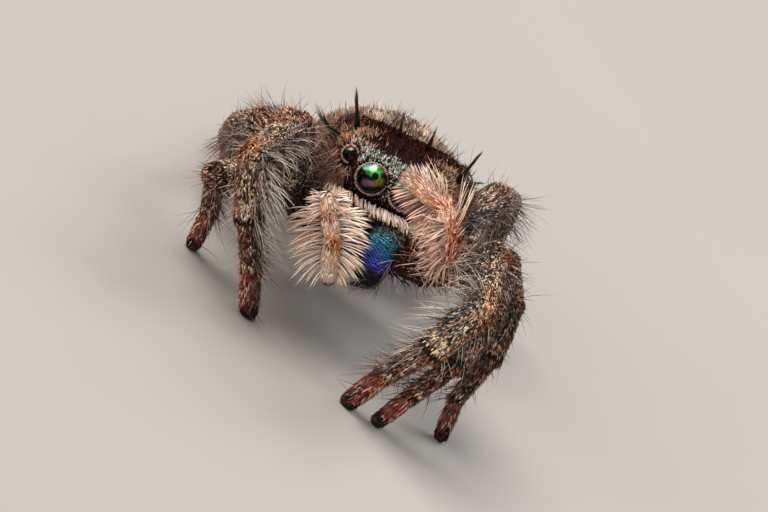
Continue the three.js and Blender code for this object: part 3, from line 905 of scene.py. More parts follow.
@dataclass(frozen=True)
class View:
    """The camera: where it stands, the way it looks and its tilt."""

    elevation: float = 16.0
    azimuth: float = -3.0
    roll: float = 39.0
    distance: float = 100.0
    pixels_per_mm: float = 50.0
    frame_pixels: tuple[int, int] = (768, 512)
    face_pixel: tuple[float, float] = (388.8, 185.9)
    sensor: float = 36.0

    @property
    def ahead(self) -> Array:
        """The direction from the camera to the face."""
        a, e = np.radians([self.azimuth, self.elevation])
        return -np.array([np.sin(a) * np.cos(e), -np.cos(a) * np.cos(e), np.sin(e)])

    @property
    def right(self) -> Array:
        """The picture's right."""
        level = unit(np.cross(self.ahead, [0, 0, 1.0]))
        upright = np.cross(level, self.ahead)
        c, s = np.cos(np.radians(self.roll)), np.sin(np.radians(self.roll))
        return c * level + s * upright

    @property
    def up(self) -> Array:
        """The picture's upward direction."""
        return np.cross(self.right, self.ahead)

    def camera(self) -> None:
        """A long-lens camera, turned about its place until the face meets its pixel."""
        width, height = self.frame_pixels
        focal = self.pixels_per_mm * self.distance
        offset = np.array([self.face_pixel[0] - width / 2, height / 2 - self.face_pixel[1]])
        tilt = offset / focal
        ahead = unit(self.ahead - self.right * tilt[0] - self.up * tilt[1])
        right = unit(self.right - ahead * (self.right @ ahead))
        up = np.cross(right, ahead)
        data = bpy.data.cameras.new("camera")
        data.lens = focal / width * self.sensor
        data.sensor_width = self.sensor
        data.clip_start, data.clip_end = 0.01, 10.0
        camera = bpy.data.objects.new("camera", data)
        place = BODY.place(FACE_CENTRE) - self.ahead * self.distance + SHIFT
        camera.matrix_world = pose(np.column_stack([right, up, -ahead]), place * MM)
        bpy.context.scene.collection.objects.link(camera)
        bpy.context.scene.camera = camera


# Painted reflections on a main lens: mauve, tan, olive and gold below, green and pale teal above
# with a white painted highlight, black for the pupil and the dark left side, and thin dark streaks
# along the top.
MAIN_GLINTS = (
    Glint("704e68", -0.28, -0.28, 0.42, 0.3, 1.8, 0.5),
    Glint("806048", 0.12, -0.36, 0.42, 0.26, 1.1, 0.5),
    Glint("74741c", 0.54, -0.26, 0.34, 0.34, 1.5, 0.5),
    Glint("b0882c", 0.32, -0.28, 0.07, 0.26, 1.5, 0.5),
    Glint("9a9428", 0.58, -0.3, 0.06, 0.24, 1.5, 0.5),
    Glint("2f8c34", 0.16, 0.46, 0.64, 0.4, 2.0, 0.6),
    Glint("7fc8b4", -0.02, 0.72, 0.66, 0.24, 1.1, 0.5),
    Glint("9ad8b8", -0.3, 0.62, 0.3, 0.16, 1.2, 0.5),
    Glint("6fd050", 0.24, 0.38, 0.42, 0.18, 1.6, 0.5),
    Glint("e2fff0", 0.2, 0.72, 0.22, 0.2, 1.3, 0.4),
    Glint("58b840", 0.24, 0.16, 0.36, 0.36, 2.2, 0.5),
    Glint("020202", 0.22, 0.12, 0.25, 0.25, 5.0, 0.0),
    Glint("020202", -0.02, -0.02, 0.48, 0.16, 2.4, 0.0),
    Glint("020302", -0.74, 0.2, 0.4, 0.34, 2.6, 0.0),
    Glint("0a1410", -0.34, 0.86, 0.03, 0.14, 1.4, 0.0),
    Glint("0a1410", -0.16, 0.9, 0.03, 0.13, 1.4, 0.0),
    Glint("0a1410", 0.03, 0.92, 0.03, 0.13, 1.4, 0.0),
    Glint("0a1410", 0.36, 0.88, 0.03, 0.14, 1.4, 0.0),
    Glint("0a1410", 0.5, 0.78, 0.035, 0.14, 1.4, 0.0),
)
# Painted reflections on a side lens: a brown sheen above and a red-brown reflection below.
SIDE_GLINTS = (
    Glint("705248", -0.05, 0.6, 0.6, 0.28, 1.6, 0.3),
    Glint("3a120c", 0.1, -0.6, 0.66, 0.32, 2.0, 0.2),
)
# A painted brown sheen on the top of the small rear lenses.
DARK_GLINTS = (Glint("4a3024", 0.0, 0.3, 0.7, 0.5, 2.0, 0.2),)

EYES = (
    Eye("anterior_median", MAIN_EYE, 0.32, (0.05, -1, 0.05), 0.03, MAIN_GLINTS),
    Eye("anterior_lateral", (0.97, -2.0, 1.46), 0.17, (0.45, -1, 0.15), -0.035, SIDE_GLINTS),
    Eye("posterior_median", (1.14, -1.22, 1.76), 0.1, (0.8, -0.3, 0.6), 0.03, DARK_GLINTS),
    Eye("posterior_lateral", (1.29, -0.35, 1.66), 0.19, (0.9, 0.2, 0.5), 0.07, DARK_GLINTS),
)


@dataclass(frozen=True)
class Tuft:
    """A sheaf of stiff hairs on the head: its foot in the body frame, its lean and its size.

    Gather is how far apart the tips stand, as a share of the foot, and bend turns them up.
    """

    at: Point
    lean: float
    back: float
    length: float
    hairs: int
    width: float = 0.036
    gather: float = 0.12
    bend: float = 0.0
    foot: float = 0.085
    sink: float = 0.04

    def grow(self, coat: Coat) -> None:
        """Adds hairs from a round foot to one place above it.

        Args:
            coat: the coat that takes them.
        """
        rng = coat.rng
        lean, back = np.radians([self.lean, self.back])
        up = unit(BODY.direct([np.sin(lean), np.sin(back), np.cos(lean)]))
        first = unit(np.cross(up, BACKWARDS))
        second = np.cross(up, first)
        angle = rng.uniform(0, 2 * np.pi, (self.hairs, 1))
        out = self.foot * np.sqrt(rng.random((self.hairs, 1)))
        radial = np.cos(angle) * first + np.sin(angle) * second
        foot = BODY.place(self.at) + radial * out - up * self.sink
        reach = self.length * rng.uniform(0.7, 1.0, (self.hairs, 1))
        lie = BODY.place(self.at) + up * reach + radial * out * self.gather - foot
        size = np.linalg.norm(lie, axis=-1, keepdims=True)
        swerve = radial * out * rng.uniform(-0.3, 0.5, (self.hairs, 1)) / size \
            + BODY.direct([0, 0, self.bend])
        roots = spread_roots(foot, radial, lie)
        kind = Hair(1.0, self.width, 0, Outline.NEEDLE, flatness=0.9)
        tints = BLACK.draw(self.hairs, rng)
        coat.add_tubes(roots, unit(lie), swerve, size, kind, tints, roots.normal)


TUFTS = (
    Tuft((-1.08, -1.38, 1.86), -28, 0, 0.9, 70),
    Tuft((1.2, -1.38, 1.82), 12, 0, 0.84, 70),
    Tuft((-0.28, -0.8, 2.0), -14, 10, 0.6, 26),
    Tuft((0.36, -0.8, 2.0), -4, 10, 0.54, 26),
    Tuft((-1.34, -1.1, 1.5), -92, 5, 0.84, 16, 0.03, 0.8, 0.5),
    Tuft((1.28, -0.62, 1.66), 62, 5, 0.52, 22),
)


@dataclass(frozen=True)
class Carapace:
    """The domed carapace in the body frame, Y along the body, Z = 0 at its lower margin."""

    half_length: float = 2.3
    width: tuple = ((-2.3, 1.32), (-1.4, 1.4), (0.5, 1.72), (2.3, 1.4))
    top: tuple = ((-2.3, 1.9), (-1.6, 2.04), (-0.4, 2.05), (0.6, 1.8), (1.6, 1.2), (2.3, 0.85))
    margin: tuple = ((-2.3, 0.62), (-1.7, 0.22), (-1.0, -0.02), (1.6, 0), (2.3, 0.2))
    face_bluntness: float = 4.5
    rear_bluntness: float = 2.4
    squareness: float = 3.6
    coat: float = 0.04
    rows: int = 110
    columns: int = 144
    dent: float = 0.05

    def local_grid(self) -> Array:
        """A superellipse from end to end, its section a superellipse of the stations' size.

        Returns:
            The grid's places in the body frame.
        """
        beta = np.linspace(-np.pi / 2, np.pi / 2, self.rows)[:, None]
        blunt = np.where(beta < 0, self.face_bluntness, self.rear_bluntness)
        c, s = np.maximum(np.cos(beta), 0), np.sin(beta)
        corner = (c**blunt + np.abs(s) ** blunt) ** (1 / blunt)
        spread, reach = c / corner, s / corner
        spread[0] = spread[-1] = 0.0
        angle = np.arange(self.columns)[None] * 2 * np.pi / self.columns
        across, upward = np.cos(angle), np.sin(angle)
        power = self.squareness
        square = spread / (np.abs(across) ** power + np.abs(upward) ** power) ** (1 / power)
        y = reach * self.half_length
        top, margin = at_station(self.top, y), at_station(self.margin, y)
        return np.stack([
            square * across * (at_station(self.width, y) - self.coat),
            reach * (self.half_length - self.coat) + 0 * angle,
            (top + margin) / 2 + square * upward * ((top - margin) / 2 - self.coat),
        ], -1)

    def surface(self) -> Surface:
        """The skin: the plain dome with a swelling round each eye and a dent on top.

        Returns:
            The surface in the standing frame.
        """
        grid = self.local_grid()
        height = -self.dent * bell(np.linalg.norm(grid - [0, 0.1, 2.0], axis=-1), 0, 0.3)
        for eye in EYES:
            for side in Side:
                away = np.linalg.norm(grid - side.mirror(eye.at), axis=-1)
                height += eye.swell * bell(away, 1.12 * eye.radius, 0.35 * eye.radius + 0.03)
        return Surface(BODY.place(Surface(grid).lifted(height).points))

    def front(self, x: Array) -> Array:
        """The body-frame Y of the face's edge at a place across it."""
        share = np.abs(x) / self.width[0][1]
        return -self.half_length * (1 - share**self.face_bluntness) ** (1 / self.face_bluntness)


def superegg(p: Array, half: Array, power: float = 2.0, taper: float = 0.0) -> Array:
    """Places on an egg: the unit vectors by the power's norm, times girth and half sizes.

    Args:
        p: a grid of unit directions.
        half: half the length, depth and height.
        power: 2 for an ellipsoid, more for a boxier egg.
        taper: how much narrower the foot is, and wider the top.

    Returns:
        The places round the egg's centre.
    """
    scale = 1 / (np.abs(p) ** power).sum(-1, keepdims=True) ** (1 / power)
    girth = 1 + taper * p[..., 2:]
    girth = np.concatenate([girth, girth, np.ones_like(girth)], -1)
    return p * scale * girth * half


def ovoid(at: tuple, half: tuple, side: Side, coat: float) -> Surface:
    """An ellipsoid about a place in the body frame, smaller by a coat's depth."""
    egg = superegg(sphere_directions(40, 56), np.array(half) - coat)
    return Surface(BODY.place(side.mirror(at) + egg))


@dataclass(frozen=True)
class Chelicera:
    """An iridescent jaw: a boxy egg with fine wrinkles across it."""

    at: tuple = (0.425, -2.08, -0.12)
    half: tuple = (0.385, 0.46, 0.72)
    squareness: float = 2.7
    taper: float = 0.16
    wrinkle_pitch: float = 0.056
    wrinkle_depth: float = 0.011
    coat: float = 0.01
    rows: int = 230
    columns: int = 170
    bands: tuple = ((0.0, "1e2626"), (0.14, "256a70"), (0.3, "3696b0"), (0.46, "3a88d2"),
                    (0.62, "4066e0"), (0.76, "5c4ce0"), (0.9, "3c54c0"), (1.0, "122038"))
    fleck: str = "5fd08a"

    def grid(self, side: Side) -> tuple[Array, Array]:
        """The plain egg's places in the body frame, and the directions that they lie in."""
        p = sphere_directions(self.rows, self.columns)[..., [0, 2, 1]] * [1, -1, 1]
        egg = superegg(p, np.array(self.half) - self.coat, self.squareness, self.taper)
        return side.mirror(self.at) + egg, p

    def ridges(self, local: Array) -> Array:
        """Jagged cross wrinkles from -1 to 1: a sine of the height, slanting and wavering."""
        waver = 0.026 * mottle(local, 0.2, 5) + 0.016 * mottle(local, 0.07, 8)
        slant = local[..., 2] + 0.3 * local[..., 0] + waver + 0.1 * local[..., 1]
        return np.sin(2 * np.pi * slant / self.wrinkle_pitch) * (0.75 + 0.25 * mottle(local, 0.1, 6))

    def surface(self, side: Side) -> Surface:
        """The egg with its wrinkles, which fade out at both ends.

        Args:
            side: which jaw.

        Returns:
            The surface in the standing frame.
        """
        local, p = self.grid(side)
        fade = smooth(-1.0, -0.55, p[..., 2]) * (1 - smooth(0.8, 1.0, p[..., 2]))
        wrinkles = self.wrinkle_depth * fade * self.ridges(local)
        return Surface(BODY.place(Surface(local).lifted(wrinkles).points))

    def tints(self, side: Side, view: View) -> Array:
        """Teal to blue to violet down the jaw, with painted shade in the furrows and at the flanks,
        and dark at its top and foot.

        Args:
            side: which jaw.
            view: the camera, whose right and up set out the bands' slant on the jaw.

        Returns:
            (n, 3) linear colours, in the order of the mesh's places.
        """
        local, _ = self.grid(side)
        offset = BODY.direct(local - side.mirror(self.at))
        down = offset @ (-0.5 * view.right - 0.86 * view.up)
        aside = offset @ view.right
        place = np.clip(0.56 + 0.86 * down + 0.1 * mottle(local, 0.12, 12), 0, 1)
        stops = [stop for stop, _ in self.bands]
        shades = np.array([linear(shade) for _, shade in self.bands])
        colour = np.stack([np.interp(place, stops, shades[:, i]) for i in range(3)], -1)
        fleck = smooth(0.35, 0.75, mottle(local, 0.045, 14)) * smooth(0.1, 0.3, aside)
        fleck = (fleck * smooth(0.3, 0.0, down))[..., None]
        colour = colour * (1 - fleck) + linear(self.fleck) * fleck
        # Painted shade: the colour is darkened in the furrows between the ridges.
        ridge = smooth(-0.7, 0.6, self.ridges(local))[..., None]
        height = local[..., 2] + 0.1 * mottle(local, 0.3, 15)
        outer = side.value * (local[..., 0] - side.mirror(self.at)[0])
        # Painted shade: only a band across the middle keeps its colour, dark at the flanks and also
        # at the top and foot.
        lit = smooth(-0.4, -0.26, height) * smooth(0.38, 0.28, np.abs(outer + 0.02)) \
            * smooth(0.56, 0.44, height)
        colour = colour * (0.05 + 1.25 * ridge) * (lit[..., None] + 0.015)
        return unrolled(np.clip(colour + 0.004, 0, 1))

    def material(self) -> bpy.types.Material:
        """Glossy metal in the mesh's own colours.

        Returns:
            The material.
        """
        shader = Shader("iridescence")
        fine = shader.noise(30.0, 2.0)
        return shader.finish(Base_Color=shader.tint(), Metallic=0.8, Roughness=fine * 0.2 + 0.24,
                             Coat_Weight=0.25, Coat_Roughness=0.15,
                             Normal=shader.bump(fine, 0.4, 0.01))


@dataclass(frozen=True)
class Fang:
    """A curved horn under a jaw, in the body frame."""

    root: tuple = (0.5, -2.12, -0.78)
    radius: float = 0.12
    length: float = 0.5
    curl: float = 0.32
    sink: float = 0.22

    def surface(self, side: Side) -> Surface:
        """A round horn along a bent line, thinning to a point.

        Args:
            side: which fang.

        Returns:
            The surface in the standing frame.
        """
        lie = unit(BODY.direct(side.mirror((-0.75, 0.15, -0.6))))
        outer = BODY.direct(side.mirror((-0.6, 0.2, 0.75)))
        across = unit(np.cross(lie, outer))
        face = np.cross(across, lie)
        s = np.linspace(0, 1, 40)[:, None, None]
        u = (np.arange(24) * 2 * np.pi / 24)[None, :, None]
        thin = self.radius * np.sqrt(np.clip(s / 0.06, 0, 1)) * (1 - s) ** 0.8
        bend = self.curl * self.length * s * s
        root = BODY.place(side.mirror(self.root))
        points = root + lie * (s * (self.length + self.sink) - self.sink) \
            + across * thin * np.cos(u) + face * (thin * np.sin(u) + bend)
        return Surface(points)

    def material(self) -> bpy.types.Material:
        """Polished dark red horn.

        Returns:
            The material.
        """
        shader = Shader("fang_horn")
        cloud = shader.noise(6.0, 3.0)
        colour = shader.mix(cloud, rgba("2a0705"), rgba("6e1c12"))
        return shader.finish(Base_Color=colour, Roughness=cloud * 0.1 + 0.16,
                             Coat_Weight=0.6)


# ---- limbs


BELLY = 0.45         # where a segment is fullest, as a share of its length
KNEE_TAPER = 0.92    # a segment's ends, as a share of its full radius


@dataclass
class Segment:
    """One length of a limb from a to b, with its back's direction and its inner side's.

    Near, full and far are the radii at a, at the belly and at b.
    """

    ROWS = 26
    COLUMNS = 28
    CAP = np.linspace(0, np.pi / 2, 7)[:-1]    # the rows of a rounded end, as angles

    a: Array
    b: Array
    near: float
    full: float
    far: float
    dorsal: Array
    inner: Array

    @property
    def axis(self) -> Array:
        """The way from a to b."""
        return unit(self.b - self.a)

    @property
    def length(self) -> float:
        """The distance from a to b."""
        return float(np.linalg.norm(self.b - self.a))

    def radius(self, t: Array) -> Array:
        """The radius at shares of the length: a sine up to the belly, then an S curve."""
        swell = np.sin(np.clip(t / BELLY, 0, 1) * np.pi / 2)
        rising = self.near + (self.full - self.near) * swell
        falling = self.full + (self.far - self.full) * smooth(BELLY, 1.0, t)
        return np.where(t < BELLY, rising, falling)

    def surface(self) -> Surface:
        """A tube along the axis with rounded ends.

        Returns:
            The surface in the standing frame.
        """
        cap = self.CAP
        t = np.linspace(0, 1, self.ROWS)
        reach = np.concatenate([-self.near * np.cos(cap), t * self.length,
                                self.length + self.far * np.cos(cap[::-1])])
        ring = np.concatenate([self.near * np.sin(cap), self.radius(t),
                               self.far * np.sin(cap[::-1])])[:, None, None]
        u = (np.arange(self.COLUMNS) * 2 * np.pi / self.COLUMNS)[None, :, None]
        return Surface(self.a + reach[:, None, None] * self.axis
                       + ring * (np.cos(u) * self.dorsal + np.sin(u) * self.inner))

    def read(self, points: Array) -> tuple[Array, Array, Array, Array]:
        """Reads where points lie along and round the segment.

        Args:
            points: places in the standing frame.

        Returns:
            The share of the length, how far each faces the back and the inner side, from -1
            to 1, and its distance from the axis.
        """
        offset = points - self.a
        t = offset @ self.axis / self.length
        square = offset - (offset @ self.axis)[..., None] * self.axis
        gap = np.linalg.norm(square, axis=-1)
        way = square / np.maximum(gap, TINY)[..., None]
        return t, way @ self.dorsal, way @ self.inner, gap

    def miss(self, t: Array, gap: Array) -> Array:
        """How far points lie from the surface, by the share and distance that read gives."""
        return np.abs(gap - self.radius(t)) + np.maximum(np.abs(t - 0.5) - 0.5, 0)


def tapered(joints: list[Array], radii: list[float], coat: float, dorsal: list[Array],
            inner: list[Array], round_near: bool) -> list[Segment]:
    """Builds a limb's segments, each starting no wider than the one before it.

    Args:
        joints: the places of its joints.
        radii: the full radius of each segment.
        coat: the depth of the coat, by which the skin is thinner.
        dorsal: the way each segment's back faces, roughly.
        inner: the way each segment's inner side faces, roughly.
        round_near: whether the first segment starts at its full radius.

    Returns:
        The segments.
    """
    segments = []
    for i, radius in enumerate(radii):
        before = radii[max(i - 1, 0)]
        near = radius if i == 0 and round_near else min(radius, before) * KNEE_TAPER
        far = radius * KNEE_TAPER
        axis = unit(joints[i + 1] - joints[i])
        back = unit(dorsal[i] - axis * (dorsal[i] @ axis))
        aside = np.cross(back, axis)
        aside = aside * np.sign(aside @ inner[i] + TINY)
        segments.append(Segment(joints[i], joints[i + 1], near - coat, radius - coat,
                                far - coat, back, aside))
    return segments


class LegPart(IntEnum):
    """The segments of a leg, from the hip."""

    COXA = 0
    FEMUR = 1
    PATELLA = 2
    TIBIA = 3
    METATARSUS = 4
    TARSUS = 5


class PalpPart(IntEnum):
    """The segments of a palp, from its base."""

    FEMUR = 0
    PATELLA = 1
    TIBIA = 2
    TARSUS = 3


@dataclass(frozen=True)
class Leg:
    """One pair of legs: the hip in the body frame and the sizes from coxa to tarsus.

    A pose is the coxa's heading, then the leg plane's heading and lean, then the lifts of
    femur, patella, tibia, metatarsus and tarsus, in degrees.
    """

    name: str
    hip: tuple[float, float]
    coxa: float
    lengths: tuple
    radii: tuple
    poses: dict
    coat: float = 0.035
    hip_height: float = -0.22
    coxa_lift: float = 8.0
    pad_height: float = 0.1

    def nodes(self, side: Side) -> list[str]:
        """The solids that the leg stands for."""
        return [f"{self.name}_{side.label}_{part}"
                for part in ("femur", "patella", "tibia", "tarsus")]

    def segments(self, side: Side) -> list[Segment]:
        """Walks from the hip along the pose, then lets the pad down to the floor.

        Args:
            side: which leg of the pair.

        Returns:
            One segment for each part, from coxa to tarsus.
        """
        coxa_heading, heading, lean, *lifts = np.radians(self.poses[side])
        lift = np.radians(self.coxa_lift)
        s = side.value
        hip = np.array([s * self.hip[0], self.hip[1], self.hip_height])
        way = np.array([s * np.sin(coxa_heading) * np.cos(lift),
                        -np.cos(coxa_heading) * np.cos(lift), np.sin(lift)])
        joints = [BODY.place(hip), BODY.place(hip + self.coxa * way)]
        forward = np.array([s * np.sin(heading), -np.cos(heading), 0.0])
        inward = np.array([s * forward[1], -s * forward[0], 0.0])
        upward = np.array([0, 0, np.cos(lean)]) + inward * np.sin(lean)
        dorsal = [upward]
        for length, angle in zip(self.lengths, lifts):
            joints.append(joints[-1] + length * (forward * np.cos(angle)
                                                 + upward * np.sin(angle)))
            dorsal.append(upward * np.cos(angle) - forward * np.sin(angle))
        walked = np.cumsum(self.lengths) / sum(self.lengths)
        error = joints[-1][2] - self.pad_height
        for i, share in enumerate(walked):
            joints[i + 2] = joints[i + 2] - np.array([0, 0, error * share])
        return tapered(joints, list(self.radii), self.coat, dorsal, [inward] * 6, True)


LEGS = (
    Leg("leg_1", (0.66, -1.1), 1.0, (2.3, 1.5, 1.3, 1.35, 0.95),
        (0.33, 0.41, 0.38, 0.37, 0.26, 0.24),
        {Side.RIGHT: (47, 17, -27, 46, -14, -108, -123, -112),
         Side.LEFT: (49, 18, -10, 42, -22, -92, -115, -99)}),
    Leg("leg_2", (0.76, -0.38), 0.9, (2.1, 1.2, 1.25, 1.1, 0.85),
        (0.31, 0.38, 0.32, 0.33, 0.24, 0.21),
        {Side.RIGHT: (85, 31, -2, 46, -73, -15, -127, -107),
         Side.LEFT: (73, 24, -15, 36, -30, -59, -92, -91)}),
    Leg("leg_3", (0.76, 0.4), 0.9, (2.2, 1.1, 1.3, 1.4, 0.9),
        (0.31, 0.38, 0.33, 0.31, 0.23, 0.2),
        {Side.RIGHT: (112, 94, 59, 50, -71, -86, -97, -93),
         Side.LEFT: (128, 34, 2, 22, -27, -66, -92, -69)}),
    Leg("leg_4", (0.64, 1.2), 1.05, (2.45, 1.15, 1.55, 1.5, 0.85),
        (0.33, 0.41, 0.35, 0.33, 0.23, 0.2),
        {Side.RIGHT: (100, 157, 47, 0, -24, -30, -26, -19),
         Side.LEFT: (139, 164, 0, 20, -10, -45, -40, -45)}),
)


@dataclass(frozen=True)
class Fringe:
    """The long hair on one side of a palp's segment: its rise goes from start to end."""

    length: float
    start: float
    end: float
    per_mm: float
    palette: Palette = PALP_SIDE
    width: float = 0.036
    curl: float = 0.3
    shrink: float = 1.0
    disorder: float = 0.06

    def hair(self) -> Hair:
        """The hairs' sizes: flat ribbons."""
        return Hair(self.length, self.width, self.start, Outline.RIBBON, 0.2, self.disorder,
                    self.curl, 0.0, 0.4, 0.6)


@dataclass(frozen=True)
class Palp:
    """A palp: its base in the body frame and its other joints in the standing frame.

    For each segment there are two fringes, first on the side of its inner direction, and a
    colour of the skin.
    """

    side: Side
    joints: tuple
    fringes: tuple
    skin: tuple[str, ...]
    base: tuple = (0.8, -1.98, -0.25)
    radii: tuple = (0.22, 0.24, 0.25, 0.26)
    coat: float = 0.07

    def nodes(self) -> list[str]:
        """The solids that the palp stands for."""
        return [f"palp_{self.side.label}_{part}" for part in ("femur", "tibia", "tarsus")]

    def segments(self) -> list[Segment]:
        """Builds the segments, whose backs face ahead of the spider.

        Returns:
            Femur, patella, tibia and tarsus.
        """
        places = [BODY.place(self.side.mirror(self.base))] + [np.array(j) for j in self.joints]
        fronts, sides = [], []
        for a, b in zip(places, places[1:]):
            axis = unit(b - a)
            across = unit(np.cross(axis, BACKWARDS))
            ahead = np.cross(across, axis)
            fronts.append(ahead if ahead[1] < 0 else -ahead)
            sides.append(across)
        return tapered(places, list(self.radii), self.coat, fronts, sides, False)


# The raised palp's femur fringe: dark red-brown, partly painted shade.
DARK_TANGLE = Fringe(0.34, 76, 60, 50, PALP_ROOT, 0.024, 0.9, disorder=0.5)
TARSUS_FAN = Fringe(0.58, 92, 34, 46, width=0.042, curl=0.36, shrink=0.24)
TARSUS_FAN_OUT = Fringe(0.72, 92, 34, 46, width=0.042, curl=0.36, shrink=0.24)
CREST = Fringe(0.34, 116, 78, 52, width=0.04, curl=0.35)
THIN_CREST = Fringe(0.3, 120, 110, 16, curl=0.3)
TIBIA_FAN = Fringe(0.6, 102, 90, 44, width=0.042, curl=0.32)
TIBIA_FAN_OUT = Fringe(0.8, 102, 90, 44, width=0.042, curl=0.32)
# The first skin colour of each palp, dark red-brown for the femur, is partly painted shade.
PALPS = (
    Palp(Side.RIGHT, ((-0.86, -1.3, 2.93), (-0.64, -1.33, 2.69), (-0.26, -1.3, 2.28),
                      (0.16, -1.12, 1.55)),
         ((THIN_CREST, THIN_CREST), (CREST, CREST), (TIBIA_FAN, TIBIA_FAN_OUT),
          (TARSUS_FAN, TARSUS_FAN_OUT)),
         ("2a0f0a", "e8b89c", "e8b89c", "e8b89c")),
    Palp(Side.LEFT, ((1.77, -1.4, 3.41), (1.37, -1.46, 4.0), (1.05, -1.4, 4.27),
                     (0.08, -1.13, 4.2)),
         ((DARK_TANGLE, DARK_TANGLE),
          (Fringe(0.52, 138, 114, 40, PALP_MAUVE, 0.038, -0.2, disorder=0.14),
           Fringe(0.22, 80, 70, 20, PALP_EDGE, 0.02, 0.9, disorder=0.45)),
          (Fringe(0.66, 116, 98, 56, PALP_MAUVE, 0.038, -0.2),
           Fringe(0.54, 60, 52, 30, width=0.022, curl=0.6, disorder=0.16)),
          (Fringe(0.56, 80, 44, 56, PALP_MAUVE, 0.036, 0.0, 0.55),
           Fringe(0.44, 74, 46, 30, width=0.02, curl=0.7, shrink=0.12, disorder=0.16))),
         ("2a0f0a", "9c4a30", "c08a70", "9c7060")),
)


@dataclass(frozen=True)
class Markings:
    """Rings of colour along a leg: for each part, where each palette starts."""

    rings: tuple = (
        ((0.0, DUSK),),
        ((0.0, DUSK), (0.45, SPECKLED), (0.8, ORANGE_SPOT)),
        ((0.0, SPECKLED), (0.78, ORANGE_SPOT)),
        ((0.0, SPECKLED), (0.64, GOLD_BAND), (0.91, BLACK), (1.0, BROWN)),
        ((0.0, BLACK), (0.03, BROWN), (0.74, GOLD_BAND), (0.88, BLACK)),
        ((0.0, RUST), (0.1, TARSUS), (0.76, CLAW)),
    )
    cuticle: str = "120c0a"

    def ring(self, part: LegPart, t: Array) -> Array:
        """Which of a part's rings each share of its length is in."""
        starts = [start for start, _ in self.rings[part]]
        return np.clip(np.searchsorted(starts, t, side="right") - 1, 0, len(starts) - 1)

    def hairs(self, part: LegPart, segment: Segment, at: Array, front: bool,
              rng: Rng) -> Array:
        """Colours for scales: in flecks, greyer on the leg's inner side, warmer outside, partly
        rust and partly painted warm light, and on the back partly silver hairs and partly a painted
        sheen.

        Args:
            part: which part of the leg.
            segment: its segment.
            at: where the scales grow.
            front: whether it is a foreleg.
            rng: source of chance.

        Returns:
            (n, 3) linear colours.
        """
        count = len(at)
        t, back, inner, _ = segment.read(at)
        blur = 0.045 if part is LegPart.TARSUS else 0.02
        here = self.ring(part, t + blur * rng.normal(size=count))
        tints = np.zeros((count, 3))
        for i, (_, palette) in enumerate(self.rings[part]):
            palette.repaint(tints, here == i, rng)
        if part is LegPart.TARSUS:
            DUSK.repaint(tints, rng.random(count) < 0.55 * smooth(0.1, 0.8, inner), rng)
        elif part is not LegPart.COXA:
            warm, warmth = (RUST, 0.08) if front else (HAZE, 0.5)
            light = tints.mean(-1) > 0.03
            slaty = rng.random(count) < 0.7 * smooth(0.2, 0.8, inner)
            # Warmer outer side: partly the leg's own rust colour and partly painted warm light.
            rust_and_warm_light = rng.random(count) < warmth + 0.8 * smooth(0.2, 0.8, -inner)
            # Silver hairs on the back of the segment, partly a painted sheen.
            silver_and_sheen = rng.random(count) < 0.3 * bell(back, 1, 0.25) * bell(t, 0.4, 0.3)
            for chosen, palette in ((slaty, SLATE), (rust_and_warm_light, warm), (silver_and_sheen, GREY)):
                palette.repaint(tints, chosen & light, rng)
            tints *= (1 - 0.7 * smooth(0.2, 0.6, mottle(at, 0.14, 77)))[:, None]
        return tints

    def skin(self, part: LegPart, t: Array) -> Array:
        """The cuticle's colour under those hairs, at shares of a part's length."""
        means = np.array([palette.mean() for _, palette in self.rings[part]])
        share = 0.28 if part is LegPart.TARSUS else 0.05
        return means[self.ring(part, t)] * share + linear(self.cuticle) * 0.6


# ---- skin


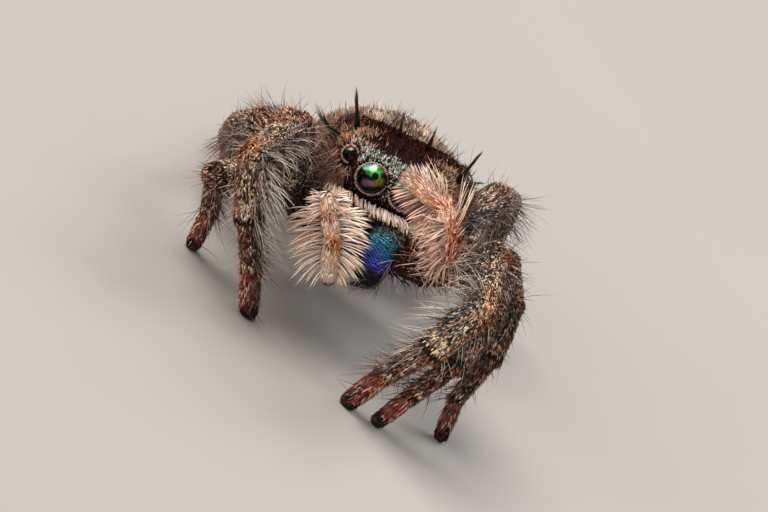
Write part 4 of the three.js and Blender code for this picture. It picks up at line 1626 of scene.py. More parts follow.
@dataclass(frozen=True)
class Skin:
    """One closed skin over carapace, underside, palps and legs."""

    carapace: Carapace = Carapace()
    markings: Markings = Markings()
    voxel: float = 0.0505
    limb_reach: float = 0.06    # how near a limb's surface its colours reach
    body_shade: str = "190602"
    under_shade: str = "2b1c17"
    pad_shade: str = "7a7069"

    def build(self) -> None:
        """Makes the skin, which stands for all solids of flesh ahead of the abdomen."""
        legs = [(leg, side) for leg in LEGS for side in Side]
        parts = [self.carapace.surface(), *self.underside()]
        parts += [segment.surface() for leg, side in legs for segment in leg.segments(side)]
        parts += [segment.surface() for palp in PALPS for segment in palp.segments()]
        points, faces = self.fused(parts)
        points[:, 2] = np.maximum(points[:, 2], 0.0)
        nodes = ["carapace", "sternum", "labium", "pedicel", "endite_left", "endite_right"]
        nodes += [node for leg, side in legs for node in leg.nodes(side)]
        nodes += [node for palp in PALPS for node in palp.nodes()]
        piece = make_mesh("skin", points, faces, self.tints(points))
        settle(piece, Cuticle().material(), nodes)

    @staticmethod
    def underside() -> list[Surface]:
        """Shapes the plates between the legs and behind the jaws.

        Returns:
            Sternum, labium, two mouth plates and the waist.
        """
        plates = [ovoid((0, 0.1, -0.24), (0.78, 1.55, 0.42), Side.LEFT, 0.03),
                  ovoid((0, -1.2, -0.62), (0.14, 0.3, 0.16), Side.LEFT, 0.01)]
        plates += [ovoid((0.3, -1.32, -0.5), (0.21, 0.42, 0.24), side, 0.02) for side in Side]
        waist = Segment(BODY.place([0, 2.0, 0.5]), BODY.place([0, 3.15, 0.5]), 0.2, 0.2, 0.2,
                        BODY.direct([0, 0, 1.0]), BODY.direct([1.0, 0, 0]))
        return plates + [waist.surface()]

    def fused(self, parts: list[Surface]) -> tuple[Array, list[Array]]:
        """Joins closed surfaces into one skin on a fine voxel grid and smooths it.

        The rough mesh is kept in millimetres, because voxels under a tenth of a millimetre
        are too small for the tool in metres.

        Args:
            parts: the surfaces, which overlap.

        Returns:
            The skin's places and its faces.
        """
        points, faces, start = [], [[], []], 0
        for part in parts:
            quads, fans = part.faces(start)
            faces[0].append(quads)
            faces[1].append(fans)
            points.append(part.vertices())
            start += len(points[-1])
        rough = make_mesh("rough_skin", np.concatenate(points) / MM - SHIFT,
                          [np.concatenate(kind) for kind in faces])
        remesh = rough.modifiers.new("voxels", "REMESH")
        remesh.mode = "VOXEL"
        remesh.voxel_size = self.voxel
        soften = rough.modifiers.new("soften", "SMOOTH")
        soften.factor, soften.iterations = 0.5, 3
        shown = rough.evaluated_get(bpy.context.evaluated_depsgraph_get())
        mesh = bpy.data.meshes.new_from_object(shown)
        places = np.zeros(len(mesh.vertices) * 3, np.float32)
        mesh.vertices.foreach_get("co", places)
        corners = np.zeros(len(mesh.loops), np.int32)
        mesh.loops.foreach_get("vertex_index", corners)
        bpy.data.objects.remove(rough)
        bpy.data.meshes.remove(mesh)
        return places.reshape(-1, 3).astype(float), [corners.reshape(-1, 4)]

    def tints(self, points: Array) -> Array:
        """The skin's colours: dark red-brown body, ringed legs, warm palps.

        Args:
            points: the skin's places.

        Returns:
            (n, 3) linear colours.
        """
        local = BODY.local(points)
        tints = linear(self.body_shade) * (1 + 0.25 * mottle(points, 0.5, 21)[:, None])
        face = smooth(-1.9, -2.15, local[:, 1])[:, None] * smooth(0.4, 0.6, local[:, 2])[:, None]
        tints = tints * (1 - 0.35 * face)
        under = smooth(0.1, -0.1, local[:, 2])[:, None]
        tints = tints * (1 - under) + linear(self.under_shade) * under
        best = np.full(len(points), self.limb_reach)
        for leg in LEGS:
            for side in Side:
                for part, segment in zip(LegPart, leg.segments(side)):
                    chosen, t = self.claim(segment, points, best)
                    tints[chosen] = self.markings.skin(part, t)
        for palp in PALPS:
            for part, segment in zip(PalpPart, palp.segments()):
                chosen, t = self.claim(segment, points, best)
                pad = smooth(0.85, 1.1, t)[:, None] * (part is PalpPart.TARSUS)
                tints[chosen] = linear(palp.skin[part]) * (1 - pad) + linear(self.pad_shade) * pad
        return np.clip(tints, 0.002, 1)

    @staticmethod
    def claim(segment: Segment, points: Array, best: Array) -> tuple[Array, Array]:
        """Finds the points that lie nearer to a segment than to those before it.

        Args:
            segment: the segment.
            points: the skin's places.
            best: how near each point's best segment is, which is brought up to date.

        Returns:
            Which points they are, and their shares of the segment's length.
        """
        t, _, _, gap = segment.read(points)
        miss = segment.miss(t, gap)
        chosen = miss < best
        best[chosen] = miss[chosen]
        return chosen, t[chosen]


# ---- hindbody


@dataclass(frozen=True)
class Abdomen:
    """The abdomen in its own frame: an egg, fuller ahead, with a bunch of spinnerets."""

    half: tuple = (1.75, 2.4, 1.25)
    taper: float = 0.2
    coat: float = 0.03
    dimples: tuple = ((0.45, -0.7), (0.5, 0.3), (0.4, 1.1))
    spots: tuple = ((0.3, -0.18, 0.15), (0.24, 0.22, 0.12), (0.2, 0.52, 0.09))
    spinneret_offset: float = 0.15
    spinneret_drop: float = 0.42
    spinneret_length: float = 0.57
    spinneret_radius: float = 0.13
    skin_shade: str = "5a4334"
    spot_shade: str = "a88a70"
    short_hair: Hair = Hair(0.28, 0.036, 22, Outline.LOCK, 0.35, 0.3, 0.1, 0.14, 0.5, 0.7)
    long_hair: Hair = Hair(0.5, 0.016, 44, Outline.NEEDLE, 0.3, 0.3, 0.1, 0.05)
    tail_hair: Hair = Hair(0.2, 0.025, 30, Outline.NEEDLE)
    short_count: int = 11200
    long_count: int = 700
    tail_count: int = 220

    def build(self) -> None:
        """Makes the skins of egg and spinnerets, two pieces of coat and one of long hair."""
        egg, tubes = self.surface(), self.spinnerets()
        self.build_skin("abdomen_skin", egg, "abdomen")
        for number, tube in enumerate(tubes, 1):
            self.build_skin(f"spinneret_{number}", tube, "spinnerets")
        rng = np.random.default_rng(301)
        back = HINDBODY.direct([0, 1.0, 0])
        for number in (1, 2):
            coat = Coat(f"abdomen_coat_{number}", "abdomen", HairFinish("abdomen_hair", 0.7), rng)
            roots = egg.scatter(self.short_count, rng)
            coat.grow(roots, back, self.short_hair, self.hair_tints(roots.at, rng))
            coat.build()
        fine = Coat("abdomen_long_hair", "abdomen", HairFinish("abdomen_bristle", 0.5), rng)
        fine.grow(egg.scatter(self.long_count, rng), back, self.long_hair, BACK_LONG)
        for tube in tubes:
            fine.grow(tube.scatter(self.tail_count, rng), back, self.tail_hair, BACK_DARK)
        fine.build()

    def surface(self) -> Surface:
        """The egg with shallow dimples along its back.

        Returns:
            The surface in the standing frame.
        """
        p = sphere_directions(90, 120)
        girth = 1 - self.taper * p[..., 1] * np.abs(p[..., 1])
        half = np.array(self.half) - self.coat
        local = np.stack([p[..., 0] * girth, p[..., 1], p[..., 2] * girth], -1) * half
        height = 0.025 * mottle(local, 0.9, 3)
        for x, y in self.dimples:
            for s in (-1, 1):
                away = np.hypot(local[..., 0] - s * x, local[..., 1] - y)
                height -= 0.06 * bell(away, 0, 0.14) * (local[..., 2] > 0)
        return Surface(HINDBODY.place(Surface(local).lifted(height).points))

    def spinnerets(self) -> list[Surface]:
        """Four small blunt tubes at the tail.

        Returns:
            Their surfaces in the standing frame.
        """
        tubes = []
        for x, z in ((-1, 1), (1, 1), (-1, -1), (1, -1)):
            root = np.array([x * self.spinneret_offset, self.half[1] * 0.9,
                             z * self.spinneret_offset - self.spinneret_drop])
            end = root + [0, self.spinneret_length, -0.1]
            radius = self.spinneret_radius
            tubes.append(Segment(
                HINDBODY.place(root), HINDBODY.place(end), radius, radius, 0.6 * radius,
                HINDBODY.direct([0, 0, 1.0]), HINDBODY.direct([1.0, 0, 0]),
            ).surface())
        return tubes

    def pattern(self, points: Array) -> tuple[Array, Array, Array]:
        """Works out the abdomen's markings: paired pale spots and streaks on a dark band.

        Args:
            points: places in the standing frame.

        Returns:
            How pale, how dark and how grey the coat is at each.
        """
        x, y, z = np.moveaxis(HINDBODY.local(points) / self.half, -1, 0)
        blotch = mottle(points, 0.7, 9)
        pale = bell(np.hypot(np.abs(x) / 0.95, y + 0.82), 0, 0.24) * (np.abs(x) < 0.75)
        for spot_x, spot_y, size in self.spots:
            pale = np.maximum(pale, bell(np.hypot(np.abs(x) - spot_x, y - spot_y), 0, size)
                              * (z > 0))
        streak = bell(np.abs(x) - 0.55 - 0.25 * np.sin(7 * y), 0, 0.09) * (np.abs(y) < 0.7)
        pale = np.maximum(pale, 0.6 * streak * (z > 0))
        dark = smooth(0.5, 0.2, np.abs(x)) * smooth(-0.6, -0.3, y) * (z > 0) * 0.8
        dark = np.maximum(dark, smooth(-0.35, -0.75, z))
        dark = np.clip(dark + 0.3 * blotch, 0, 1)
        return np.clip(pale, 0, 1), dark, smooth(-0.5, 0.5, blotch + 0.6 * np.abs(x))

    def build_skin(self, name: str, part: Surface, node: str) -> None:
        """Makes one piece of skin with the coat's own markings.

        Args:
            name: the piece's name.
            part: its surface.
            node: the solid that it stands for.
        """
        points = part.vertices()
        pale, dark, _ = self.pattern(points)
        tints = linear(self.skin_shade) * (1 - 0.6 * dark[:, None]) \
            + linear(self.spot_shade) * 0.5 * pale[:, None]
        piece = make_mesh(name, points, part.faces(), np.clip(tints, 0.01, 1))
        settle(piece, Cuticle(f"{name}_cuticle", 0.7).material(), [node])

    def hair_tints(self, points: Array, rng: Rng) -> Array:
        """Draws hair colours from pale, dark, grey or tan by the pattern.

        Args:
            points: where the hairs grow.
            rng: source of chance.

        Returns:
            (n, 3) linear colours.
        """
        pale, dark, grey = self.pattern(points)
        tints = BACK_TAN.draw(len(points), rng)
        for share, palette in ((grey * 0.6, BACK_GREY), (dark, BACK_DARK), (pale, BACK_PALE)):
            palette.repaint(tints, rng.random(len(points)) < share, rng)
        return tints


# ---- face


@dataclass(frozen=True)
class Eyes:
    """Eight glossy lenses."""

    view: View

    def build(self) -> None:
        """Makes a lens for each eye."""
        for eye in EYES:
            for side in Side:
                settle(eye.ball(side), eye.material(side, self.view),
                       [f"eye_{eye.name}_{side.label}"])


@dataclass(frozen=True)
class Jaws:
    """Two iridescent jaws, their fangs and the hair on them."""

    view: View
    chelicera: Chelicera = Chelicera()
    fang: Fang = Fang()
    bristle: Hair = Hair(0.44, 0.018, 24, Outline.NEEDLE, 0.4, 0.2, 0.1, 0.25)
    down: Hair = Hair(0.2, 0.016, 18, Outline.NEEDLE, 0.4, 0.3)
    bristle_count: int = 150
    down_count: int = 120

    def build(self) -> None:
        """Makes jaws and fangs, then the hair of both jaws as one piece."""
        for side in Side:
            jaw = self.chelicera.surface(side)
            piece = make_mesh(f"jaw_{side.label}", jaw.vertices(), jaw.faces(),
                              self.chelicera.tints(side, self.view))
            settle(piece, self.chelicera.material(), [f"chelicera_{side.label}"])
            horn = self.fang.surface(side)
            piece = make_mesh(f"horn_fang_{side.label}", horn.vertices(), horn.faces())
            settle(piece, self.fang.material(), [f"fang_{side.label}"])
        coat = Coat("jaw_hair", "chelicera", HairFinish("jaw_bristle", 0.4),
                    np.random.default_rng(41))
        for side in Side:
            self.dress(coat, side)
        coat.build()

    def dress(self, coat: Coat, side: Side) -> None:
        """Grows bristles round a jaw's foot and outer flank, and down on its top.

        Args:
            coat: the coat that takes them.
            side: which jaw.
        """
        surface = self.chelicera.surface(side)
        offset = BODY.local(surface.cells()) - side.mirror(self.chelicera.at)
        x, y, z = np.moveaxis(offset / self.chelicera.half, -1, 0)
        downwards = BODY.direct([0, -0.1, -1.0])
        foot = smooth(-0.45, -0.8, z)
        flank = smooth(0.45, 0.8, side.value * x) * smooth(0.4, 0.0, z)
        roots = surface.scatter(self.bristle_count, coat.rng, foot * 0.6 + flank)
        coat.grow(roots, downwards + BODY.direct(side.mirror((-0.3, 0, 0))), self.bristle,
                  JAW_SILVER)
        top = smooth(0.55, 0.8, z) * smooth(0.2, -0.2, y)
        roots = surface.scatter(self.down_count, coat.rng, top)
        coat.grow(roots, downwards, self.down, FACE_BROWN)


class Region(Enum):
    """The parts of the carapace that have a coat of their own."""

    BROW = "scales over and between the front eyes"
    CHEEK = "beside the jaws"
    PLATE = "between and under the main eyes"
    TEMPLE = "above the lateral eyes"
    TOP = "the head's top"
    FLANK = "both sides"
    REAR = "the slope behind"


@dataclass(frozen=True)
class Growth:
    """One kind of hair over one region; it is combed towards a way of the body frame."""

    region: Region
    count: int
    towards: Point
    palette: Palette
    hair: Hair


HEAD_DOWN = (0, -0.2, -1.0)
HEAD_BACK = (0, 1.0, 0.1)
HEAD_GROWTHS = (
    Growth(Region.CHEEK, 2600, HEAD_DOWN, FACE_BROWN,
           Hair(0.24, 0.024, 26, Outline.NEEDLE, 0.35, 0.35, 0.1, 0.15)),
    Growth(Region.PLATE, 700, HEAD_DOWN, FACE_BROWN,
           Hair(0.06, 0.022, 16, Outline.SCALE, 0.35, 0.4, 0.0, 0.1, 0.4, 0.5)),
    Growth(Region.TEMPLE, 1200, HEAD_BACK, FACE_TAN,
           Hair(0.14, 0.021, 28, Outline.NEEDLE, 0.35, 0.4, 0.1, 0.1)),
    Growth(Region.TOP, 3600, HEAD_BACK, FACE_DARK,
           Hair(0.15, 0.02, 18, Outline.NEEDLE, 0.4, 0.3, 0.1, 0.1)),
    Growth(Region.TOP, 90, HEAD_BACK, FACE_DARK,
           Hair(0.4, 0.014, 62, Outline.NEEDLE, 0.4, 0.4, 0.2, 0.0)),
    Growth(Region.FLANK, 3000, HEAD_BACK, FLANK,
           Hair(0.26, 0.028, 24, Outline.LOCK, 0.35, 0.3, 0.1, 0.15)),
    Growth(Region.REAR, 2200, HEAD_BACK, BACK_TAN,
           Hair(0.22, 0.028, 20, Outline.LOCK, 0.35, 0.3, 0.1, 0.15)),
)
CLYPEUS_LOCKS = Hair(0.2, 0.044, 12, Outline.RIBBON, 0.3, 0.2, 0.0, 0.06, 0.4, 0.55)
CLYPEUS_THREADS = Hair(0.4, 0.012, 24, Outline.NEEDLE, 0.3, 0.25, 0.0, 0.3)


@dataclass(frozen=True)
class HeadCoat:
    """All hair of the carapace: coat, brow scales, clypeus fringe, eye rims and tufts."""

    carapace: Carapace = Carapace()
    brow_scales: int = 2100
    brow_scale: Hair = Hair(0.085, 0.026, 20, Outline.SCALE, 0.4, 0.4, 0.0, 0.1, 0.35, 0.45)
    brow_gap: float = 0.02      # how far scales keep from a lens
    hair_gap: float = 0.05      # how far hairs keep from a lens
    parting: float = 0.16       # how far from a lens it parts the hair
    clypeus_half: float = 1.16
    rim_scale: Hair = Hair(0.038, 0.017, 26, Outline.SCALE, 0.45, 0.5, 0, 0.1, 0.5, 0.7)
    rim_scales_per_mm: float = 900

    def build(self) -> None:
        """Makes the coat region by region, then the trimmings."""
        rng = np.random.default_rng(17)
        self.build_coat(rng)
        self.build_clypeus(rng)
        self.build_eye_rims()
        self.build_tufts()

    @staticmethod
    def regions(surface: Surface) -> dict[Region, Array]:
        """Marks out the regions by smooth bounds in the body frame.

        Args:
            surface: the carapace.

        Returns:
            A weight for each cell, by region.
        """
        x, y, z = np.moveaxis(BODY.local(surface.cells()), -1, 0)
        aside = np.abs(x)
        facing = surface.normals() @ BODY.direct([0, -1.0, 0])
        crown = smooth(1.34, 1.46, z) * smooth(1.79, 1.7, z) * smooth(1.08, 0.98, aside) \
            * smooth(-1.7, -1.85, y)
        between = bell(aside, 0, 0.08) * smooth(1.0, 1.2, z) * smooth(0.9, 0.97, facing)
        temple = bell(np.hypot(aside - 1.1, (y + 1.55) * 0.8), 0, 0.34) * smooth(1.3, 1.6, z)
        return {
            Region.BROW: crown + 0.7 * between,
            Region.CHEEK: smooth(0.75, 1.0, aside) * smooth(1.5, 1.2, z) * smooth(-1.2, -1.7, y),
            Region.PLATE: smooth(0.76, 0.86, z) * smooth(1.4, 1.3, z) * smooth(0.75, 0.9, facing),
            Region.TEMPLE: temple,
            Region.TOP: smooth(1.72, 1.9, z) * smooth(-2.1, -1.9, y),
            Region.FLANK: smooth(1.0, 1.3, aside) * smooth(-1.9, -1.3, y),
            Region.REAR: smooth(0.2, 0.8, y),
        }

    def clear_of_eyes(self, roots: Roots, gap: float) -> Roots:
        """Keeps the roots that stand clear of all lenses.

        Args:
            roots: the roots.
            gap: how far they keep from a lens.

        Returns:
            The roots that are left.
        """
        clear = np.ones(len(roots.at), bool)
        for eye in EYES:
            for side in Side:
                away = np.linalg.norm(roots.at - eye.centre(side), axis=-1)
                clear &= away > eye.radius + gap
        return roots.only(clear)

    def comb_round_eyes(self, roots: Roots, towards: Array) -> Array:
        """Parts the hair so that it points away from a lens nearby.

        Args:
            roots: where the hair grows.
            towards: the way that it is combed elsewhere.

        Returns:
            A direction for each root.
        """
        lie = towards + 0 * roots.at
        for eye in EYES:
            for side in Side:
                away = roots.at - eye.centre(side)
                near = bell(np.linalg.norm(away, axis=-1), eye.radius, self.parting)[:, None]
                lie = lie * (1 - near) + unit(away) * near * 1.5
        return lie

    def build_coat(self, rng: Rng) -> None:
        """Makes the hair of the carapace, and opal scales over the brow.

        Args:
            rng: source of chance.
        """
        surface = self.carapace.surface()
        weights = self.regions(surface)
        coat = Coat("face_coat", "carapace", HairFinish("face_hair", 0.75, gloss=0.0), rng)
        roots = surface.scatter(self.brow_scales, rng, weights[Region.BROW])
        brow = self.clear_of_eyes(roots, self.brow_gap)
        for growth in HEAD_GROWTHS:
            roots = surface.scatter(growth.count, rng, weights[growth.region])
            roots = self.clear_of_eyes(roots, self.hair_gap)
            lie = self.comb_round_eyes(roots, BODY.direct(growth.towards))
            coat.grow(roots, lie, growth.hair, growth.palette)
        coat.build()
        opal = Coat("brow_scales", "carapace", HairFinish("opal_scale", 0.35, 0.15, 0.35), rng)
        outward = BODY.direct([0, 0, 1.0]) * (brow.at[:, 2:] > 0)
        lie = self.comb_round_eyes(brow, outward + BODY.direct(HEAD_BACK) * 0.3)
        opal.grow(brow, lie, self.brow_scale, OPAL)
        opal.build()

    def build_clypeus(self, rng: Rng) -> None:
        """Makes the pale fringe of flat hairs that hangs from the clypeus over the jaws.

        Args:
            rng: source of chance.
        """
        fringe = Coat("clypeus_fringe", "carapace", HairFinish("cream_hair", 0.5), rng)
        down = BODY.direct(HEAD_DOWN)
        aside = BODY.direct([1.0, 0.0, 0.0])
        for count, low, high, kind, palette in ((190, 0.74, 0.82, CLYPEUS_LOCKS, CREAM),
                                                (36, 0.66, 0.74, CLYPEUS_THREADS, PALP_GOLD)):
            x = np.linspace(-self.clypeus_half, self.clypeus_half, count)
            x = x + rng.normal(0, 0.006, count)
            local = np.stack([x, self.carapace.front(x) + 0.03, rng.uniform(low, high, count)], -1)
            ahead = BODY.direct(np.stack([0.5 * x * np.abs(x), -1 + 0 * x, 0 * x], -1))
            roots = spread_roots(BODY.place(local), ahead, down + 0 * local)
            lie = down + aside * (0.55 + 0.35 * x)[:, None]
            fringe.grow(roots, lie, kind, palette)
        fringe.build()

    def build_eye_rims(self) -> None:
        """Makes a thin ring of pale scales round each of the front eyes."""
        rng = np.random.default_rng(23)
        rims = Coat("eye_rim_scales", "carapace", HairFinish("rim_scale", 0.5), rng)
        for eye in EYES[:2]:
            count = int(self.rim_scales_per_mm * eye.radius)
            depth = 0.1 if eye.radius > 0.3 else 0.06
            for side in Side:
                axis = eye.axis(side)
                first = unit(np.cross(axis, [0, 0, 1.0]))
                second = np.cross(first, axis)
                angle = np.linspace(0, 2 * np.pi, count, endpoint=False)[:, None]
                radial = np.cos(angle) * first + np.sin(angle) * second
                ring = np.sqrt(eye.radius**2 - depth**2) + rng.uniform(0.004, 0.026, (count, 1))
                at = eye.centre(side) + axis * depth + radial * ring
                roots = spread_roots(at, 0.8 * axis + 0.5 * radial, radial)
                rims.grow(roots, radial + 0.6 * np.cross(axis, radial), self.rim_scale,
                          EYE_RIM)
        rims.build()

    @staticmethod
    def build_tufts() -> None:
        """Makes the stiff black tufts: sheaves of hairs that meet at the tip."""
        coat = Coat("eye_tufts", "carapace", HairFinish("black_hair", 0.4),
                    np.random.default_rng(29))
        for tuft in TUFTS:
            tuft.grow(coat)
        coat.build()


# ---- coats of the limbs


class Bed:
    """A segment's skin, ready for hair: where its cells lie along and round it."""

    def __init__(self, coat: Coat, segment: Segment, part: IntEnum, tiles: int) -> None:
        """Works out the segment's surface.

        Args:
            coat: the coat that grows on it.
            segment: the segment.
            part: which of the limb's segments, and its tile on the coat's map.
            tiles: how many tiles the map has along each side.
        """
        self.coat, self.segment, self.part, self.tiles = coat, segment, part, tiles
        self.surface = segment.surface()
        self.t, self.back, self.inner, _ = segment.read(self.surface.cells())

    def roots(self, count: float, weight: Array) -> Roots:
        """Draws roots over the skin by a weight for each cell."""
        return self.surface.scatter(int(count), self.coat.rng, weight, self.part, self.tiles)

    def cover(self, count: float, weight: Array, kind: Hair, palette: Palette) -> None:
        """Grows hairs combed along the segment, by a weight for each cell."""
        self.coat.grow(self.roots(count, weight), self.segment.axis, kind, palette)


@dataclass(frozen=True)
class PalpCoat:
    """The coat of the palps: fringes that fan out, and scales that lie down the front.

    Front and rear are numbers of hairs for each millimetre of femur, patella, tibia and
    tarsus.
    """

    front: tuple = (150, 800, 1000, 1100)
    rear: tuple = (160, 300, 350, 420)
    cover: Hair = Hair(0.17, 0.036, 12, Outline.LANCE, 0.25, 0.14, 0.05, 0.1, 0.45, 0.85)
    under: Hair = Hair(0.2, 0.026, 34, Outline.NEEDLE, 0.3, 0.3, 0.2, 0.05)
    curls: Hair = Hair(0.34, 0.024, 60, Outline.RIBBON, 0.35, 0.9, 1.0, 0.0, 0.5, 0.4)
    curl_count: int = 90
    locks: Hair = Hair(0.44, 0.034, 30, Outline.RIBBON, 0.25, 0.22, 0.35, 0.0, 0.4, 0.5)
    lock_count: int = 110

    def build(self) -> None:
        """Makes one piece of coat for each palp."""
        rng = np.random.default_rng(53)
        for palp in PALPS:
            coat = Coat(f"palp_coat_{palp.side.label}", "palp", HairFinish("palp_hair", 0.5), rng)
            for part, segment in zip(PalpPart, palp.segments()):
                self.dress(Bed(coat, segment, part, 2), palp)
            coat.build()

    def dress(self, bed: Bed, palp: Palp) -> None:
        """Grows the coat of one segment of a palp.

        Args:
            bed: the segment's skin.
            palp: the palp.
        """
        coat, part, segment, t = bed.coat, bed.part, bed.segment, bed.t
        raised = palp.side is Side.LEFT
        for sign, fringe in zip((1.0, -1.0), palp.fringes[part]):
            self.add_fringe(bed, sign, fringe)
        body = smooth(-0.7, -0.3, t) * (smooth(1.0, 0.7, t) if part is PalpPart.FEMUR else 1.0)
        roots = bed.roots(self.front[part] * segment.length, body * smooth(-0.3, 0.3, bed.back))
        tints = self.tints(raised, bed, roots.at)
        tip = smooth(0.8, 0.98, segment.read(roots.at)[0]) * (part is PalpPart.TARSUS)
        coat.grow(roots, segment.axis, self.cover, tints, 1 - 0.75 * tip)
        behind = body * smooth(0.1, -0.5, bed.back) * smooth(0.98, 0.8, t)
        roots = bed.roots(self.rear[part] * segment.length, behind)
        if part is PalpPart.PATELLA and raised:
            self.add_elbow(bed)
        coat.grow(roots, segment.axis, self.under, PALP_RED if raised else PALP_MAUVE)

    @staticmethod
    def add_fringe(bed: Bed, sign: float, fringe: Fringe) -> None:
        """Grows ribbons that fan out along one side of a segment.

        Args:
            bed: the segment's skin.
            sign: 1 for the inner side and -1 for the outer one.
            fringe: the fringe.
        """
        segment, t = bed.segment, bed.t
        weight = smooth(-0.15, 0.05, t) * smooth(0.7, 0.95, sign * bed.inner) \
            * smooth(-0.7, -0.4, bed.back) * smooth(1.0, 0.9, t)
        roots = bed.roots(fringe.per_mm * (segment.length + 0.15), weight)
        roots.normal = unit(roots.normal + 1.4 * sign * segment.inner)
        where = np.clip(segment.read(roots.at)[0], 0, 1.1)
        rise = fringe.start + (fringe.end - fringe.start) * where
        scale = 1 + (fringe.shrink - 1) * where**1.5
        bed.coat.grow(roots, segment.axis, fringe.hair(), fringe.palette, scale, rise,
                      segment.dorsal)

    def add_elbow(self, bed: Bed) -> None:
        """Grows curls round the raised palp's elbow, and locks that drape over its patella.

        Args:
            bed: the patella's skin.
        """
        inner, axis = bed.segment.inner, bed.segment.axis
        roots = bed.roots(self.curl_count, smooth(0.25, 0.0, bed.t))
        bed.coat.grow(roots, inner - axis, self.curls, PALP_MAUVE)
        weight = smooth(0.15, 0.4, bed.t) * smooth(-0.3, 0.2, bed.back) \
            * smooth(-0.5, 0.1, bed.inner)
        roots = bed.roots(self.lock_count, weight)
        bed.coat.grow(roots, inner - 0.6 * axis, self.locks, PALP_MAUVE)

    @staticmethod
    def tints(raised: bool, bed: Bed, places: Array) -> Array:
        """Colours down a palp's front: mauve, then gold on each length, and a grey pad.

        Args:
            raised: whether it is the raised palp, which is duller and redder.
            bed: the segment's skin.
            places: where the hairs grow.

        Returns:
            (n, 3) linear colours.
        """
        t, _, inner, _ = bed.segment.read(places)
        count, part, rng = len(t), bed.part, bed.coat.rng
        tarsus, patella = part is PalpPart.TARSUS, part is PalpPart.PATELLA
        # The femur's dark red-brown is partly its own colour and partly painted shade.
        tints = (PALP_ROOT if part is PalpPart.FEMUR else PALP_FRONT).draw(count, rng)
        chance = rng.random(count)
        if part in (PalpPart.PATELLA, PalpPart.TIBIA):
            if raised:
                mauve = chance < 0.7
                bright = 0.7 + 0.4 * smooth(0.6, 0.9, t + 0.3 * (inner < 0) * patella)
            else:
                mauve = chance < 0.5 * smooth(0.4, 0.15, t)
                bright = 0.35 + 0.5 * smooth(0.3, 0.6, t) + 0.2 * np.abs(inner)
            gold = ~mauve & (chance < bright)
        else:
            soft_share = 0.8 if raised else 0.3 * smooth(0.6, 0.2, np.abs(t - 0.1))
            mauve = (chance < soft_share) & tarsus
            bright = 0.45 * smooth(-0.3, 0.6, inner) * smooth(0.8, 0.3, t)
            gold = (chance > 1 - bright) & tarsus
        pad = (t > 0.96) & tarsus
        joint = (t < 0.07) & (part >= PalpPart.TIBIA) & (chance < 0.8)
        if part >= PalpPart.TIBIA and raised:
            joint |= rng.random(count) < 0.16
        if patella and raised:
            joint = rng.random(count) < 0.35 + 0.5 * smooth(0.1, -0.5, inner)
        soft = PALP_DULL if raised and tarsus else PALP_MAUVE
        for chosen, palette in ((mauve, soft), (gold, PALP_GOLD), (joint, PALP_RED),
                                (pad, PAD)):
            palette.repaint(tints, chosen, rng)
        return tints


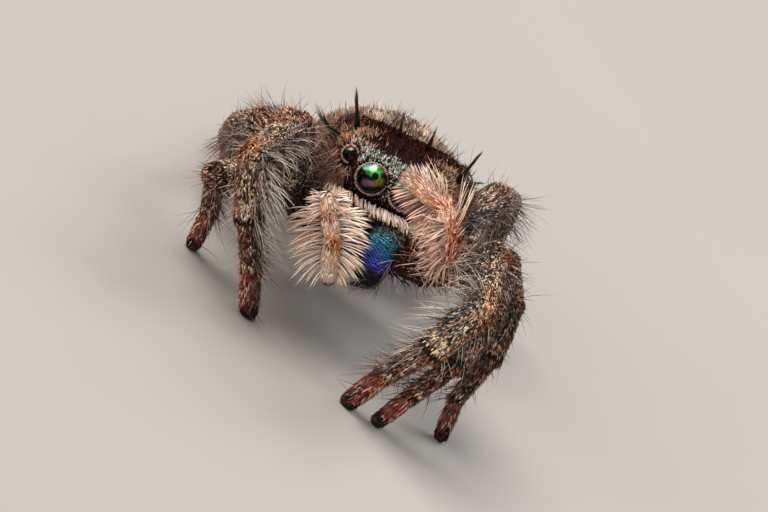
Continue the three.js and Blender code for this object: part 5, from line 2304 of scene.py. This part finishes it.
@dataclass(frozen=True)
class LegCoat:
    """The coat of the legs: flat scales, fringes at both sides, long feelers and spines.

    The tuples hold a number for each part, from coxa to tarsus: scales for each square
    millimetre, fringe hairs for each millimetre of length, and the fringes' reach. Spines
    stand in pairs, at these shares of a part's length.
    """

    spines: ClassVar = {LegPart.TIBIA: (0.3, 0.55, 0.8), LegPart.METATARSUS: (0.25, 0.8)}

    scales: tuple = (260, 800, 1050, 1050, 900, 1100)
    inner_hairs: tuple = (0, 30, 60, 88, 80, 0)
    inner_reach: tuple = (0, 0.42, 0.6, 0.62, 0.48, 0)
    outer_hairs: tuple = (0, 14, 14, 14, 14, 0)
    outer_reach: tuple = (0, 0.36, 0.34, 0.34, 0.24, 0)
    hairs_below: float = 60
    feelers: float = 6
    rear_scales: float = 0.56    # how many scales the other legs have for one of a foreleg's
    rear_hairs: float = 0.6      # and how many hairs
    markings: Markings = Markings()
    scale: Hair = Hair(0.13, 0.048, 14, Outline.SCALE, 0.3, 0.16, 0.0, 0.1, 0.4, 0.55)
    foot_scale: Hair = Hair(0.16, 0.03, 14, Outline.LANCE, 0.3, 0.14, 0.0, 0.1, 0.5, 0.5)
    fringe: Hair = Hair(1.0, 0.017, 72, Outline.NEEDLE, 0.35, 0.16, 0.42, 0.0, 0.6, 0.6)
    below: Hair = Hair(0.3, 0.022, 48, Outline.NEEDLE, 0.35, 0.25, 0.2, 0.0, 0.7)
    feeler: Hair = Hair(0.55, 0.013, 62, Outline.NEEDLE, 0.4, 0.3, 0.25, 0.0, 0.9)
    spine: Hair = Hair(0.4, 0.05, 38, Outline.NEEDLE, 0.1, 0.05, 0.0, 0.05, 0.9)

    def build(self) -> None:
        """Makes one piece of coat for each leg."""
        for number, leg in enumerate(LEGS):
            for side in Side:
                rng = np.random.default_rng(100 + 10 * number + side.value)
                coat = Coat(f"{leg.name}_coat_{side.label}", "leg", HairFinish("leg_hair", 0.5),
                            rng)
                for part, segment in zip(LegPart, leg.segments(side)):
                    self.dress(Bed(coat, segment, part, 3), number == 0)
                coat.build()

    def dress(self, bed: Bed, front: bool) -> None:
        """Grows the coat of one segment of a leg.

        Args:
            bed: the segment's skin.
            front: whether it is a foreleg.
        """
        part, segment = bed.part, bed.segment
        tarsus = part is LegPart.TARSUS
        skin_area = 2 * np.pi * segment.full * (segment.length + segment.near)
        body = smooth(-0.1, 0.0, bed.t) if part is LegPart.COXA else 1.0 + 0 * bed.t
        dense = self.scales[part] * (1.0 if front else self.rear_scales)
        roots = bed.roots(dense * skin_area, body)
        tints = self.markings.hairs(part, segment, roots.at, front, bed.coat.rng)
        tip = smooth(0.8, 1.0, segment.read(roots.at)[0]) * tarsus
        bed.coat.grow(roots, segment.axis, self.foot_scale if tarsus else self.scale, tints,
                      1 - 0.55 * tip)
        if LegPart.COXA < part < LegPart.TARSUS:
            self.add_fringes(bed, front)
        bed.cover(self.feelers * skin_area, body, self.feeler, FEELER)
        if part in self.spines:
            self.add_spines(bed)

    def add_fringes(self, bed: Bed, front: bool) -> None:
        """Grows fine hair that stands out at a segment's two sides and under it.

        Args:
            bed: the segment's skin.
            front: whether it is a foreleg.
        """
        part, segment = bed.part, bed.segment
        share = 1.0 if front else self.rear_hairs
        pale = front and part in (LegPart.PATELLA, LegPart.TIBIA)
        for sign, per_mm, reach in ((1.0, self.inner_hairs[part], self.inner_reach[part]),
                                    (-1.0, self.outer_hairs[part], self.outer_reach[part])):
            weight = smooth(0.3, 0.85, sign * bed.inner) * smooth(-0.9, -0.4, bed.back)
            roots = bed.roots(per_mm * share * segment.length, weight)
            bed.coat.grow(roots, segment.axis, self.fringe, FRINGE if pale else FUZZ, reach,
                          facing=segment.dorsal)
        bed.cover(self.hairs_below * share * segment.length, smooth(0.3, -0.6, bed.back),
                  self.below, FUZZ)

    def add_spines(self, bed: Bed) -> None:
        """Grows pairs of stout black spines under a segment.

        Args:
            bed: the segment's skin.
        """
        segment, places = bed.segment, self.spines[bed.part]
        stations = np.repeat(places, 2)
        sides = np.tile([1.0, -1.0], len(places))
        normal = unit(sides[:, None] * segment.inner - 0.75 * segment.dorsal)
        at = segment.a + segment.axis * (stations * segment.length)[:, None] \
            + normal * (segment.radius(stations) * 0.96)[:, None]
        roots = spread_roots(at, normal, segment.axis + 0 * at)
        bed.coat.grow(roots, segment.axis, self.spine, BLACK)


# ---- studio


@dataclass(frozen=True)
class Studio:
    """A plain pale floor, soft lights and the camera; sizes are in metres."""

    view: View
    floor_half: float = 3.0
    floor_drop: float = 0.00001
    lamp_reach: float = 0.5
    lamp_aim: float = 0.003    # the height that the lamps face

    def build(self) -> None:
        """Sets floor, lights, surroundings and camera."""
        self.floor()
        view = self.view
        self.lamp("key", 0.95 * view.up - 0.3 * view.ahead + 0.1 * view.right, 3.0, 0.4, "fff4ea")
        self.lamp("fill", 0.2 * view.up - view.ahead - 0.6 * view.right, 4.1, 0.5, "fff6ee",
                  mirrored=False)
        self.lamp("rim", np.array([0.5, 1.0, 0.9]), 1.2, 0.3, "ffffff")
        world = bpy.data.worlds.new("surroundings")
        world.use_nodes = True
        backdrop = world.node_tree.nodes["Background"]
        backdrop.inputs["Color"].default_value = (0.92, 0.9, 0.88, 1)
        backdrop.inputs["Strength"].default_value = 0.3
        bpy.context.scene.world = world
        bpy.context.scene.view_settings.view_transform = "Standard"
        view.camera()

    def floor(self) -> None:
        """A wide pale sheet just under the feet."""
        mesh = bpy.data.meshes.new("floor")
        size, height = self.floor_half, -self.floor_drop
        corners = [(x * size, y * size, height) for x, y in ((-1, -1), (1, -1), (1, 1), (-1, 1))]
        mesh.from_pydata(corners, [], [(0, 1, 2, 3)])
        floor = bpy.data.objects.new("floor", mesh)
        shader = Shader("pale_floor")
        cloud = shader.noise(0.05, 2.0)
        mesh.materials.append(shader.finish(
            Base_Color=shader.mix(cloud, (0.37, 0.356, 0.342, 1), (0.4, 0.386, 0.372, 1)),
            Roughness=0.7))
        bpy.context.scene.collection.objects.link(floor)

    def lamp(self, name: str, way: Array, power: float, size: float, shade: str,
             mirrored: bool = True) -> None:
        """A round area light that faces the spider.

        Args:
            name: its name.
            way: the direction that it stands in, from the spider.
            power: its power in watts.
            size: its width.
            shade: its colour.
            mirrored: whether it gives highlights.
        """
        data = bpy.data.lights.new(name, "AREA")
        data.shape = "DISK"
        data.energy, data.size = power, size
        data.color = tuple(linear(shade))
        lamp = bpy.data.objects.new(name, data)
        back = unit(way)
        right = unit(np.cross([0.0, 0.0, 1.0], back))
        place = np.array([0, 0, self.lamp_aim]) + back * self.lamp_reach
        lamp.matrix_world = pose(np.column_stack([right, np.cross(back, right), back]), place)
        lamp.visible_glossy = mirrored
        bpy.context.scene.collection.objects.link(lamp)


def main() -> None:
    logging.basicConfig(level=logging.INFO, format="%(name)s: %(message)s")
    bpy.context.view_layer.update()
    view = View()
    for assembly in (Studio(view), Skin(), Abdomen(), Eyes(view), Jaws(view), HeadCoat(),
                     PalpCoat(), LegCoat()):
        assembly.build()


if __name__ == "__main__":
    main()
